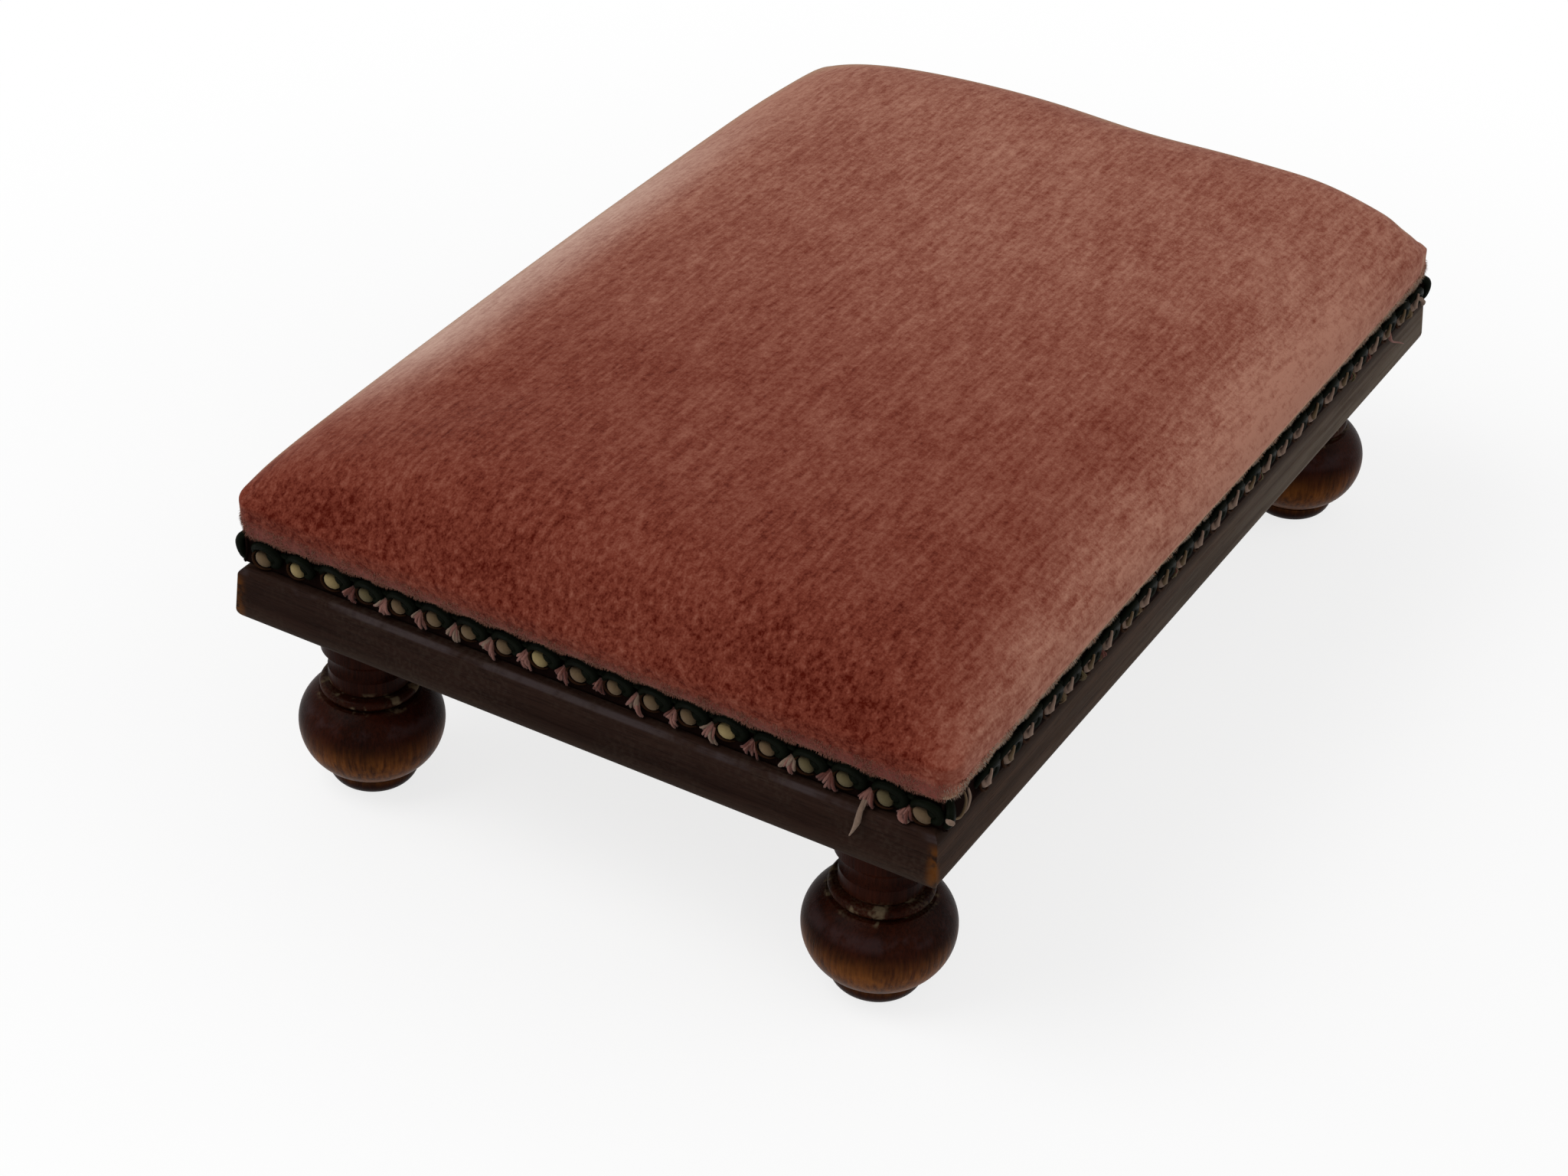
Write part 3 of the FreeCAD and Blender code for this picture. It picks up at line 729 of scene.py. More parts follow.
@dataclass(frozen=True)
class TurnedFinish:
    """Turned foot: dark red-brown stain, orange-brown low on the ball where the varnish wore off, lightened
    as painted bounce light from the floor, a painted highlight on the shoulder, dust in the grooves.
    """

    light: Colour = (0.027, 0.0055, 0.0022)
    dark: Colour = (0.0048, 0.0012, 0.0006)
    # Orange-brown of worn varnish, also standing for painted bounce light from the floor.
    worn: Colour = (0.155, 0.050, 0.0095)
    # Colour of the painted highlight ring on the ball's shoulder.
    shoulder_highlight: Colour = (0.037, 0.020, 0.020)
    dust_colour: Colour = (0.105, 0.076, 0.045)
    roughness: float = 0.34
    coat: float = 0.005
    coat_roughness: float = 0.16
    specular: float = 0.02
    wear_and_bounce_rise: Band = (0.0025, 0.0075)
    wear_and_bounce_fall: Band = (0.0245, 0.0145)
    shoulder_rise: Band = (0.0235, 0.0262)
    shoulder_fall: Band = (0.0292, 0.0270)
    groove_rise: Band = (0.0296, 0.0306)
    groove_fall: Band = (0.0362, 0.0345)

    def build(self, effects: Effects) -> bpy.types.Material:
        """Make the wood of the feet.

        Args:
            effects: The shared groups.

        Returns:
            The material.
        """
        material, shader, surface, place = surface_material("turned_wood")
        grain = shader.group(effects.grain, Place=GrainWay.ALONG_Z.turn(shader, place), Light=self.light,
                             Dark=self.dark, Pores=0.5).outputs
        height = shader.part(place, "Z")
        blotch = shader.group(effects.blotch, Place=place, Scale=60.0).outputs[0]
        streaks = shader.noise(place, (900.0, 900.0, 90.0), 3.0)
        patch = shader.madd(blotch, 0.55, shader.times(streaks, 0.45))
        # Low on the ball: worn varnish and painted bounce light from the floor.
        worn = shader.times(shader.band(height, self.wear_and_bounce_rise, self.wear_and_bounce_fall),
                            shader.mask(patch, 0.30, 0.68))
        colour = shader.mix(worn, grain["Color"], self.worn)
        # Painted highlight ring on the ball's shoulder.
        highlight_band = shader.times(shader.band(height, self.shoulder_rise, self.shoulder_fall),
                              shader.mask(blotch, 0.42, 0.56), 0.5)
        colour = shader.mix(highlight_band, colour, self.shoulder_highlight)
        flakes = shader.mask(shader.noise(place, 210.0, 2.0, 0.6), 0.55, 0.66)
        dust = shader.group(effects.dust, Place=place, Amount=1.0, Scale=420.0).outputs[0]
        settled = shader.times(shader.band(height, self.groove_rise, self.groove_fall),
                               shader.madd(dust, 0.25, shader.times(flakes, 0.75)))
        rough = shader.madd(settled, 0.5, shader.madd(blotch, 0.16, self.roughness - 0.06))
        shader.feed(surface, {
            "Base Color": shader.mix(settled, colour, self.dust_colour), "Roughness": rough,
            "Normal": shader.bump(grain["Height"], 0.00012, 0.6), "Specular IOR Level": self.specular,
            "Coat Weight": self.coat, "Coat Roughness": self.coat_roughness})
        return material


@dataclass(frozen=True)
class PlainWoodFinish:
    """Bare aged wood that stays out of sight under the stool."""

    name: str
    light: Colour
    dark: Colour
    roughness: float = 0.72

    def build(self, effects: Effects) -> bpy.types.Material:
        """Make the bare wood.

        Args:
            effects: The shared groups.

        Returns:
            The material.
        """
        material, shader, surface, place = surface_material(self.name)
        grain = shader.group(effects.grain, Place=GrainWay.ALONG_X.turn(shader, place), Light=self.light,
                             Dark=self.dark, Pores=0.4).outputs
        stain = shader.group(effects.blotch, Place=place, Scale=28.0).outputs[0]
        stained = shader.times(shader.mask(stain, 0.5, 0.7), 0.45)
        shader.feed(surface, {
            "Base Color": shader.mix(stained, grain["Color"], self.dark), "Roughness": self.roughness,
            "Normal": shader.bump(grain["Height"], 0.0003, 0.8)})
        return material


@dataclass(frozen=True)
class ThreadFinish:
    """A wound or spun thread, with its twist as fine slanted ridges."""

    name: str
    colour: Colour
    shade: Colour
    roughness: float
    specular: float
    sheen: float = 0.0
    twist: float = 2600.0
    slant: Point = (0.5, 0.7, 0.6)

    def build(self, effects: Effects) -> bpy.types.Material:
        """Make the thread.

        Args:
            effects: The shared groups.

        Returns:
            The material.
        """
        material, shader, surface, place = surface_material(self.name)
        slanted = shader.node("Mapping", {"Vector": place, "Rotation": self.slant}).outputs[0]
        wave = {"Vector": slanted, "Scale": self.twist, "Distortion": 1.5, "Detail": 1.0}
        ridges = shader.node("TexWave", wave).outputs[1]
        patches = shader.group(effects.blotch, Place=place, Scale=170.0).outputs[0]
        # The twist's grooves take the darker colour as painted shade; random patches add tone.
        share = shader.madd(ridges, 0.35, shader.times(patches, 0.75))
        shader.feed(surface, {
            "Base Color": shader.mix(shader.mask(share, 0.25, 0.85), self.shade, self.colour),
            "Normal": shader.bump(ridges, 0.00012, 0.6), "Roughness": self.roughness,
            "Specular IOR Level": self.specular, "Sheen Weight": self.sheen})
        return material


@dataclass(frozen=True)
class SteelFinish:
    """Dull steel with a little rust."""

    name: str
    colour: Colour
    rust: Colour = (0.16, 0.07, 0.03)
    roughness: float = 0.45

    def build(self, effects: Effects) -> bpy.types.Material:
        """Make the steel.

        Args:
            effects: The shared groups.

        Returns:
            The material.
        """
        material, shader, surface, place = surface_material(self.name)
        stain = shader.group(effects.blotch, Place=place, Scale=400.0).outputs[0]
        rusty = shader.mask(stain, 0.52, 0.62)
        shader.feed(surface, {
            "Base Color": shader.mix(rusty, self.colour, self.rust), "Roughness": self.roughness,
            "Metallic": shader.math("SUBTRACT", 1.0, rusty), "Normal": shader.bump(stain, 0.0001, 0.5)})
        return material


@dataclass(frozen=True)
class FibreFinish:
    """Loose fibre: cotton felt, curled stuffing or the ends of the velvet's pile."""

    name: str
    light: Colour
    dark: Colour
    scale: float
    roughness: float = 0.95
    sheen: float = 0.2

    def build(self, effects: Effects) -> bpy.types.Material:
        """Make the fibre.

        Args:
            effects: The shared groups.

        Returns:
            The material.
        """
        material, shader, surface, place = surface_material(self.name)
        tangle = shader.noise(place, self.scale, 4.0, 0.65, 2.0)
        patches = shader.group(effects.blotch, Place=place, Scale=60.0).outputs[0]
        share = shader.madd(tangle, 0.7, shader.times(patches, 0.3))
        shader.feed(surface, {
            "Base Color": shader.mix(shader.mask(share, 0.3, 0.7), self.dark, self.light),
            "Normal": shader.bump(tangle, 0.001, 0.8), "Roughness": self.roughness,
            "Sheen Weight": self.sheen})
        return material


class Thread(Enum):
    """The kinds of thread in the gimp, by their material slot."""

    CORD = 0
    BACKING = 1
    OUTLINE = 2
    GOLD = 3
    TAN = 4
    OLIVE = 5
    PINK = 6
    ROSE = 7
    BEIGE = 8
    WORN = 9
    DROP = 10


# One finish for each Thread, in the order of their slots.
THREADS = (
    ThreadFinish("gimp_cord", (0.0050, 0.0068, 0.0034), (0.0010, 0.0014, 0.0006), 0.40, 0.02),
    ThreadFinish("gimp_backing", (0.010, 0.0042, 0.0032), (0.004, 0.0017, 0.0014), 0.85, 0.01),
    ThreadFinish("gimp_outline", (0.032, 0.0125, 0.0050), (0.012, 0.0050, 0.0025), 0.65, 0.02),
    ThreadFinish("gimp_bead_gold", (0.33, 0.25, 0.105), (0.18, 0.125, 0.050), 0.6, 0.2, 0.05),
    ThreadFinish("gimp_bead_tan", (0.155, 0.098, 0.048), (0.08, 0.050, 0.025), 0.65, 0.15, 0.05),
    ThreadFinish("gimp_bead_olive", (0.125, 0.096, 0.041), (0.062, 0.047, 0.020), 0.65, 0.15, 0.05),
    ThreadFinish("gimp_tuft_pink", (0.29, 0.135, 0.108), (0.11, 0.042, 0.032), 0.9, 0.03, 0.1),
    ThreadFinish("gimp_tuft_rose", (0.150, 0.052, 0.040), (0.060, 0.018, 0.013), 0.9, 0.03, 0.1),
    ThreadFinish("gimp_tuft_beige", (0.27, 0.185, 0.135), (0.12, 0.076, 0.055), 0.9, 0.03, 0.1),
    # Pale fibres that stand for the cord's glints: painted highlight.
    ThreadFinish("gimp_cord_glint", (0.20, 0.21, 0.165), (0.07, 0.075, 0.06), 0.7, 0.3, 0.1),
    ThreadFinish("gimp_drop", (0.30, 0.205, 0.155), (0.15, 0.092, 0.066), 0.8, 0.05, 0.1),
)


class Palette:
    """Every material of the stool, built once."""

    def __init__(self) -> None:
        """Build the shared groups and the materials."""
        effects = Effects()
        long_rail = RailFinish((0.050, 0.0265, 0.0172), (0.0125, 0.0062, 0.0040), dust_and_reflection=0.55, braid_shadow_strength=0.75)
        self.rail_long = long_rail.build(effects, GrainWay.ALONG_X)
        self.rail_short = RailFinish().build(effects, GrainWay.ALONG_Y)
        self.foot = TurnedFinish().build(effects)
        self.velvet = VelvetFinish().build(effects)
        self.block, self.board, self.screw, self.tack, self.tips, self.wadding, self.stuffing = (
            finish.build(effects) for finish in (
                PlainWoodFinish("block_wood", (0.42, 0.28, 0.15), (0.20, 0.115, 0.055)),
                PlainWoodFinish("board_wood", (0.36, 0.24, 0.13), (0.19, 0.115, 0.06)),
                SteelFinish("screw_steel", (0.32, 0.30, 0.28)),
                SteelFinish("tack_steel", (0.09, 0.10, 0.13), roughness=0.35),
                # Pale tips for the wisps low on the front: painted sheen.
                FibreFinish("velvet_tips_painted_sheen", (0.56, 0.45, 0.33), (0.34, 0.22, 0.15), 900.0),
                FibreFinish("cotton_wadding", (0.80, 0.76, 0.68), (0.62, 0.57, 0.48), 700.0),
                FibreFinish("curled_stuffing", (0.36, 0.27, 0.17), (0.14, 0.09, 0.05), 900.0)))
        self.braid = [finish.build(effects) for finish in THREADS]


# Sub-assemblies

@dataclass(frozen=True)
class Dent:
    """A shallow hollow, or with a negative depth a swell, pressed into the pad."""

    x: float
    y: float
    reach_x: float
    reach_y: float
    depth: float

    def at(self, x: float, y: float) -> float:
        """How far the surface is pressed in at a place."""
        return self.depth * math.exp(-((x - self.x) / self.reach_x) ** 2 - ((y - self.y) / self.reach_y) ** 2)


@dataclass(frozen=True)
class Pleat:
    """A flat fold of velvet at a corner, or with a negative rise a corner that was pressed round."""

    low: Point
    high: Point
    rise: float
    edge: float = 0.0009
    diagonal: float = 0.7

    def at(self, point: Vector) -> Vector:
        """The move of a place, level and along the corner's diagonal.

        Args:
            point: The place.

        Returns:
            The move.
        """
        share = self.rise * self.diagonal
        for value, low, high in zip(point, self.low, self.high):
            share *= smoothstep(low - self.edge, low + self.edge, value)
            share *= 1.0 - smoothstep(high - self.edge, high + self.edge, value)
        return Vector((math.copysign(share, share * point.x), math.copysign(share, share * point.y), 0.0))


@dataclass
class Pad:
    """The crowned pad: velvet over wadding over stuffing, drawn in at its foot against the seat board."""

    skirt_x: float = 0.1566
    skirt_y: float = 0.1075
    skirt_low: float = 0.0743
    tuck_long: float = 0.0876
    tuck_short: float = 0.0853
    tuck_corner: float = 0.0828
    full_long: float = 1.0
    full_short: float = 0.6
    full_corner: float = 0.45
    belly: float = 0.0948
    top: float = 0.1173
    swell: float = 0.0074
    bow: float = 0.0026
    corner: float = 0.007
    hem_corner: float = 0.0035
    end_crown: float = 16.0
    side_crown: float = 3.0
    side_fall: float = 1.8
    velvet: float = 0.0013
    wadding: float = 0.003
    gap: float = 0.0003
    core_foot: float = 0.0834
    columns: int = 108
    rows: int = 76
    crowding: float = 0.9
    neck_rows: int = 8
    skirt_rows: int = 3
    slack: float = 0.0009
    pressure: float = 4.0
    frames: int = 20
    most_swell: float = 0.0006
    evening_passes: int = 6
    evening_share: float = 0.6
    mass: float = 0.02
    stretch_stiffness: float = 25.0
    shear_stiffness: float = 12.0
    bending_stiffness: float = 15.0
    dents: tuple[Dent, ...] = (
        Dent(0.150, -0.018, 0.014, 0.026, 0.0016),
        Dent(0.150, -0.075, 0.014, 0.016, -0.0011),
        Dent(0.141, 0.110, 0.020, 0.014, 0.0008),
        Dent(0.159, -0.106, 0.010, 0.010, 0.0012),
    )
    pleats: tuple[Pleat, ...] = (
        Pleat((-0.180, -0.1300, 0.0700), (-0.1545, -0.1040, 0.1040), 0.0005),
        Pleat((-0.180, 0.1000, 0.0880), (-0.1490, 0.1300, 0.1250), -0.0003, 0.0045),
        Pleat((0.1490, -0.1300, 0.0885), (0.1800, -0.1000, 0.1250), -0.0016, 0.0045),
        Pleat((0.1530, 0.1020, 0.0700), (0.1800, 0.1300, 0.1040), 0.0007),
    )

    def share(self, step: int, steps: int) -> float:
        """Place of a grid line from -1 to 1, crowded towards both ends."""
        reach = math.pi / 2 * self.crowding
        return math.sin(reach * (2.0 * step / steps - 1.0)) / math.sin(reach)

    def plan(self, a: float, b: float, half_x: float, half_y: float, corner: float,
             bow: float) -> tuple[float, float]:
        """A place of the unit square carried onto a rectangle with bowed sides and round corners.

        Args:
            a: Share of the half length, from -1 to 1.
            b: Share of the half width, from -1 to 1.
            half_x: Half length of the rectangle at its middle.
            half_y: Half width of the rectangle at its middle.
            corner: Radius of its corners.
            bow: How far its sides stand out between the corners.

        Returns:
            The place's X and Y.
        """
        x = a * (half_x - bow * b * b)
        y = b * (half_y - bow * a * a)
        over_x = max(abs(x) - (half_x - bow - corner), 0.0)
        over_y = max(abs(y) - (half_y - bow - corner), 0.0)
        if over_x > 0.0 and over_y > 0.0:
            pull = max(over_x, over_y) / math.hypot(over_x, over_y)
            x -= math.copysign(over_x * (1.0 - pull), x)
            y -= math.copysign(over_y * (1.0 - pull), y)
        return x, y

    def crown_height(self, a: float, b: float) -> float:
        """Height of the crown over a place of the unit square.

        Args:
            a: Share of the half length, from -1 to 1.
            b: Share of the half width, from -1 to 1.

        Returns:
            The height.
        """
        end = 1.0 - abs(a) ** self.end_crown
        side = max(1.0 - abs(b) ** self.side_crown, 0.0) ** (1.0 / self.side_fall)
        return self.belly + (self.top - self.belly) * end * side

    def neck(self, a: float, b: float, step: int) -> tuple[float, float]:
        """Share of the swell and height of a rim point on a ring below the belly.

        Args:
            a: The rim point's share of the half length.
            b: Its share of the half width.
            step: The ring's number, from 1 under the belly to the hem.

        Returns:
            The share of the swell and the height.
        """
        on_long = abs(b) >= abs(a)
        reach = abs(a) if on_long else abs(b)
        tuck, full = (self.tuck_long, self.full_long) if on_long else (self.tuck_short, self.full_short)
        tuck += (self.tuck_corner - tuck) * reach ** (2.6 if on_long else 2.0)
        full += (self.full_corner - full) * reach ** 2
        if step > self.neck_rows:
            return 0.0, tuck + (self.skirt_low - tuck) * (step - self.neck_rows) / self.skirt_rows
        angle = math.pi / 2 * step / self.neck_rows
        return max(math.cos(angle), 0.0) ** full, self.belly + (tuck - self.belly) * math.sin(angle)

    def skin(self) -> Skin:
        """The pad's outer skin, open at its hem.

        Returns:
            Its vertices, its faces, and the vertices of each ring from the crown's rim to the hem.
        """
        columns, rows = self.columns, self.rows
        across = [self.share(step, columns) for step in range(columns + 1)]
        deep = [self.share(step, rows) for step in range(rows + 1)]
        points: list[Vector] = []
        for b in deep:
            for a in across:
                x, y = self.plan(a, b, self.skirt_x + self.swell, self.skirt_y + self.swell, self.corner,
                                 self.bow)
                points.append(Vector((x, y, self.crown_height(a, b))))
        wide = columns + 1
        faces = [(low, low + 1, low + wide + 1, low + wide)
                 for row in range(rows) for low in range(row * wide, row * wide + columns)]
        rim = list(range(columns)) + [columns + wide * row for row in range(rows)]
        rim += [rows * wide + columns - column for column in range(columns)]
        rim += [wide * (rows - row) for row in range(rows)]
        rings = [rim]
        for step in range(1, self.neck_rows + self.skirt_rows + 1):
            ring = []
            for index in rim:
                row, column = divmod(index, wide)
                share, level = self.neck(across[column], deep[row], step)
                out = self.swell * share
                corner = self.hem_corner + (self.corner - self.hem_corner) * share
                x, y = self.plan(across[column], deep[row], self.skirt_x + out, self.skirt_y + out, corner,
                                 self.bow * share)
                ring.append(len(points))
                points.append(Vector((x, y, level)))
            above = rings[-1]
            for place in range(len(rim)):
                turn = (place + 1) % len(rim)
                faces.append((above[turn], above[place], ring[place], ring[turn]))
            rings.append(ring)
        return points, faces, rings

    def inflated(self) -> Skin:
        """The skin after the stuffing has pushed it out as cloth, and after use has dented it.

        Returns:
            Its vertices, its faces and its rings.
        """
        points, faces, rings = self.skin()
        normals = vertex_normals(points, faces)
        pinned = {index for ring in rings[self.neck_rows - 1:] for index in ring}
        offsets = [0.0] * len(points)
        for index, place in enumerate(self._simulate(points, faces, pinned, rings[-1])):
            if index not in pinned:
                out = (place - points[index]).dot(normals[index])
                offsets[index] = self.most_swell * math.tanh(out / self.most_swell)
        offsets = self._evened(offsets, faces, pinned)
        for index, point in enumerate(points):
            if index in pinned:
                continue
            press = sum(dent.at(point.x, point.y) for dent in self.dents)
            rise = sum((pleat.at(point) for pleat in self.pleats), Vector())
            points[index] = point + normals[index] * (offsets[index] - press) + rise
        return points, faces, rings

    def _evened(self, offsets: list[float], faces: list[tuple[int, ...]], pinned: set[int]) -> list[float]:
        """Smooth the cloth's small moves over the skin, so that no crease of the run is left.

        Args:
            offsets: The move of each vertex along its normal.
            faces: Faces of the skin.
            pinned: Vertices that don't move.

        Returns:
            The smoothed moves.
        """
        first = np.array([face[step] for face in faces for step in range(len(face))])
        second = np.array([face[(step + 1) % len(face)] for face in faces for step in range(len(face))])
        free = np.ones(len(offsets))
        free[list(pinned)] = 0.0
        values = np.array(offsets)
        for _ in range(self.evening_passes):
            total = np.zeros_like(values)
            count = np.zeros_like(values)
            for near, far in ((first, second), (second, first)):
                np.add.at(total, near, values[far])
                np.add.at(count, near, 1.0)
            around = total / np.maximum(count, 1.0)
            values = (values * (1.0 - self.evening_share) + around * self.evening_share) * free
        return values.tolist()

    def _simulate(self, points: list[Vector], faces: list[tuple[int, ...]], pinned: set[int],
                  hem: list[int]) -> list[Vector]:
        """Run the cloth under the stuffing's pressure.

        Args:
            points: Vertices of the skin.
            faces: Its faces.
            pinned: Vertices that are tacked to the seat board.
            hem: The lowest ring, which is closed so that the air stays in.

        Returns:
            The place of each vertex after the run.
        """
        form = new_object("pad_form", points, faces)
        for vertex in form.data.vertices:
            if vertex.index not in pinned:
                vertex.co -= vertex.normal * self.slack
        mesh = bmesh.new()
        mesh.from_mesh(form.data)
        mesh.verts.ensure_lookup_table()
        mesh.faces.new([mesh.verts[index] for index in reversed(hem)])
        mesh.to_mesh(form.data)
        mesh.free()
        form.vertex_groups.new(name="tacked").add(sorted(pinned), 1.0, "REPLACE")
        cloth = form.modifiers.new("stuffed", "CLOTH")
        options = {"quality": 6, "mass": self.mass, "tension_stiffness": self.stretch_stiffness,
                   "compression_stiffness": self.stretch_stiffness, "shear_stiffness": self.shear_stiffness,
                   "bending_stiffness": self.bending_stiffness, "vertex_group_mass": "tacked",
                   "use_pressure": True, "uniform_pressure_force": self.pressure}
        for key, value in options.items():
            setattr(cloth.settings, key, value)
        cloth.settings.effector_weights.gravity = 0.0
        cloth.collision_settings.use_collision = False
        scene = bpy.context.scene
        cloth.point_cache.frame_start = 1
        cloth.point_cache.frame_end = self.frames
        for frame_number in range(1, self.frames + 1):
            scene.frame_set(frame_number)
        evaluated = form.evaluated_get(bpy.context.evaluated_depsgraph_get())
        pushed = [vertex.co.copy() for vertex in evaluated.to_mesh().vertices]
        evaluated.to_mesh_clear()
        scene.frame_set(1)
        moves = [(place - vertex.co).length for place, vertex in zip(pushed, form.data.vertices)]
        LOG.info("pad swell: mean %.2f mm, most %.2f mm", sum(moves) / len(moves) / MM, max(moves) / MM)
        bpy.data.objects.remove(form)
        return pushed

    def layer(self, name: str, skin: Skin, inset: float, thick: float, kept: int,
              foot: float | None = None) -> bpy.types.Object:
        """One layer of the pad, as a closed body.

        Args:
            name: The layer's name.
            skin: The pad's outer skin.
            inset: Depth of the layer's outer face under the skin.
            thick: The layer's thickness, or 0 for a core that is solid down to its foot.
            kept: How many rings below the crown the layer keeps.
            foot: Height of the layer's lowest edge, where it isn't the last kept ring's own.

        Returns:
            The layer.
        """
        points, faces, rings = skin
        normals = vertex_normals(self.skin()[0], faces)
        crown = (self.columns + 1) * (self.rows + 1)
        ways = normals[:crown] + [Vector((way.x, way.y, 0.0)).normalized() for way in normals[crown:]]
        count = crown + len(rings[0]) * kept
        used = [face for face in faces if max(face) < count]
        outer = [points[index] - ways[index] * inset for index in range(count)]
        last = rings[kept]
        if foot is not None:
            for index in last:
                outer[index].z = foot
        around = list(zip(last, last[1:] + last[:1]))
        if thick == 0.0:
            outer.append(sum((outer[index] for index in last), Vector()) / len(last))
            used += [(after, index, count) for index, after in around]
            return new_object(name, outer, used)
        inner = [points[index] - ways[index] * (inset + thick) for index in range(count)]
        for index in last:
            inner[index].z = outer[index].z
        used += [tuple(index + count for index in reversed(face)) for face in used]
        used += [(after, index, index + count, after + count) for index, after in around]
        return new_object(name, outer + inner, used)

    def build(self, palette: Palette) -> Skin:
        """Make the velvet, the wadding and the stuffing.

        Args:
            palette: The stool's materials.

        Returns:
            The outer skin.
        """
        skin = self.inflated()
        neck = self.neck_rows
        velvet = self.layer("velvet", skin, 0.0, self.velvet, neck + self.skirt_rows)
        smooth = velvet.modifiers.new("finer", "SUBSURF")
        smooth.levels = 1
        smooth.render_levels = 1
        dress(velvet, palette.velvet)
        settle(velvet, "velvet", "velvet_cover")
        inset = self.velvet + self.gap
        wadding = self.layer("wadding_layer", skin, inset, self.wadding, neck, self.core_foot)
        dress(wadding, palette.wadding)
        settle(wadding, "wadding_cotton", "wadding")
        inset += self.wadding + self.gap
        core = self.layer("stuffing_core", skin, inset, 0.0, neck, self.core_foot)
        dress(core, palette.stuffing)
        settle(core, "stuffing_fibre", "stuffing")
        return skin


@dataclass(frozen=True)
class GimpRun:
    """One side's run of braid, seen from outside: where its face stands and how its beads go."""

    name: str
    along: Point
    outward: Point
    half_length: float
    face: float
    first: float
    repeats: int
    tuck: float
    drops: bool
    seed: int
    pitch: float = 0.01143
    foot: float = 0.0743
    bead_middle: float = 0.0794
    bead_end: float = 0.0770
    tuck_end: float = 0.0826
    # Near its foot the braid flares out over the rail's ledge, so the dark backing covers the ledge as a
    # painted shadow.
    flare: float = 0.0008
    flare_height: float = 0.0045
    bare: int = 0
    bright: tuple[int, ...] = ()
    mossy: tuple[int, ...] = ()

    def place(self, u: float, z: float, n: float) -> Vector:
        """A place on the run.

        Args:
            u: Distance along the run from its middle.
            z: Height over the floor.
            n: Distance out from the velvet behind it.

        Returns:
            The place in the frame.
        """
        out = self.face + self.flare * (1.0 - smoothstep(0.0, self.flare_height, z - self.foot)) + n
        return Vector(self.along) * u + Vector(self.outward) * out + UP * z

    def sunk(self, u: float, middle: float, end: float, power: float) -> float:
        """A height that goes from one in the middle of the run to another at its ends."""
        return middle + (end - middle) * min(abs(u) / self.half_length, 1.0) ** power

    def bead_height(self, u: float) -> float:
        """Height of the row of beads, which sinks towards the corners."""
        return self.sunk(u, self.bead_middle, self.bead_end, 2.5)

    def top(self, u: float) -> float:
        """Height of the backing's top edge, just under the velvet's tuck."""
        return self.sunk(u, self.tuck, self.tuck_end, 2.2)

    def oval(self, tilt: float, wide: float, high: float, thick: float) -> tuple[Vector, Vector, Vector]:
        """Half axes of an oval form that lies on the run.

        Args:
            tilt: Its turn from level.
            wide: Half its width.
            high: Half its height.
            thick: Half its thickness.

        Returns:
            The three half axes.
        """
        along = Vector(self.along)
        return ((along * math.cos(tilt) + UP * math.sin(tilt)) * wide,
                (UP * math.cos(tilt) - along * math.sin(tilt)) * high, Vector(self.outward) * thick)


@dataclass(frozen=True)
class Repeat:
    """One repeat of the braid's pattern while it is laid, about the middle of its bead."""

    run: GimpRun
    sink: MeshSink
    chance: random.Random
    index: int
    u: float
    z: float
    grow: float
    lift: float

    def at(self, u: float, z: float, n: float, floor: float = 0.0003) -> Vector:
        """A place beside the bead.

        Args:
            u: Distance from the bead along the run.
            z: Height over the bead's middle.
            n: Distance out from the backing's face.
            floor: How far over the run's foot the place stays.

        Returns:
            The place in the frame.
        """
        return self.run.place(self.u + u, max(self.z + z, self.run.foot + floor), self.lift + n)


@dataclass(frozen=True)
class Strand:
    """A thread of the braid's pattern: points beside its bead as along, up and out, and a radius at each."""

    thread: Thread
    points: tuple[Point, ...]
    radii: tuple[float, ...]
    flat: float = 1.0
    sides: int = 8
    steps: int = 4

    def lay(self, repeat: Repeat) -> None:
        """Add the thread to a braid, its points and radii in millimetres."""
        scale = MM * repeat.grow
        self.sweep(repeat.sink, [repeat.at(u * scale, z * scale, n * MM) for u, z, n in self.points])

    def hang(self, sink: MeshSink) -> None:
        """Add the thread with its points as places in the frame, in millimetres."""
        self.sweep(sink, [Vector(point) * MM for point in self.points])

    def sweep(self, sink: MeshSink, places: Sequence[Vector]) -> None:
        """Sweep the thread's section along places.

        Args:
            sink: What gathers the piece.
            places: Its points in the frame.
        """
        path, radii = smooth_path(places, [radius * MM for radius in self.radii], self.steps)
        sink.tube(path, radii, self.sides, self.thread.value, self.flat)


LOOP = Strand(
    Thread.CORD,
    ((-3.1, -0.4, -0.3), (-3.2, 1.2, 0.5), (-2.5, 3.1, 1.2), (-0.6, 4.3, 1.8), (2.0, 4.6, 2.0),
     (4.3, 3.7, 1.7), (5.4, 1.9, 1.3), (4.9, 0.2, 1.1), (3.6, -0.5, 0.7), (2.4, -0.6, -0.3)),
    (0.7, 0.9, 1.05, 1.1, 1.2, 1.3, 1.3, 1.25, 1.05, 0.8))
LINK = Strand(Thread.CORD, ((5.3, 2.8, 0.2), (7.0, 3.3, 0.7), (8.8, 2.6, 0.2)), (0.8, 0.85, 0.8), sides=6)
EDGE_THREAD = Strand(
    Thread.OUTLINE,
    ((-2.2, 2.0, 1.0), (-3.0, 0.7, 1.3), (-2.7, -0.9, 1.4), (-1.2, -2.1, 1.3), (0.8, -2.4, 1.0),
     (2.4, -2.2, 0.2)),
    (0.3, 0.42, 0.45, 0.4, 0.32, 0.25), sides=5)


@dataclass(frozen=True)
class Fan:
    """How a tuft spreads: its scale and the places of its outer threads' ends, left and right, in mm."""

    scale: float
    left: tuple[float, float]
    right: tuple[float, float]


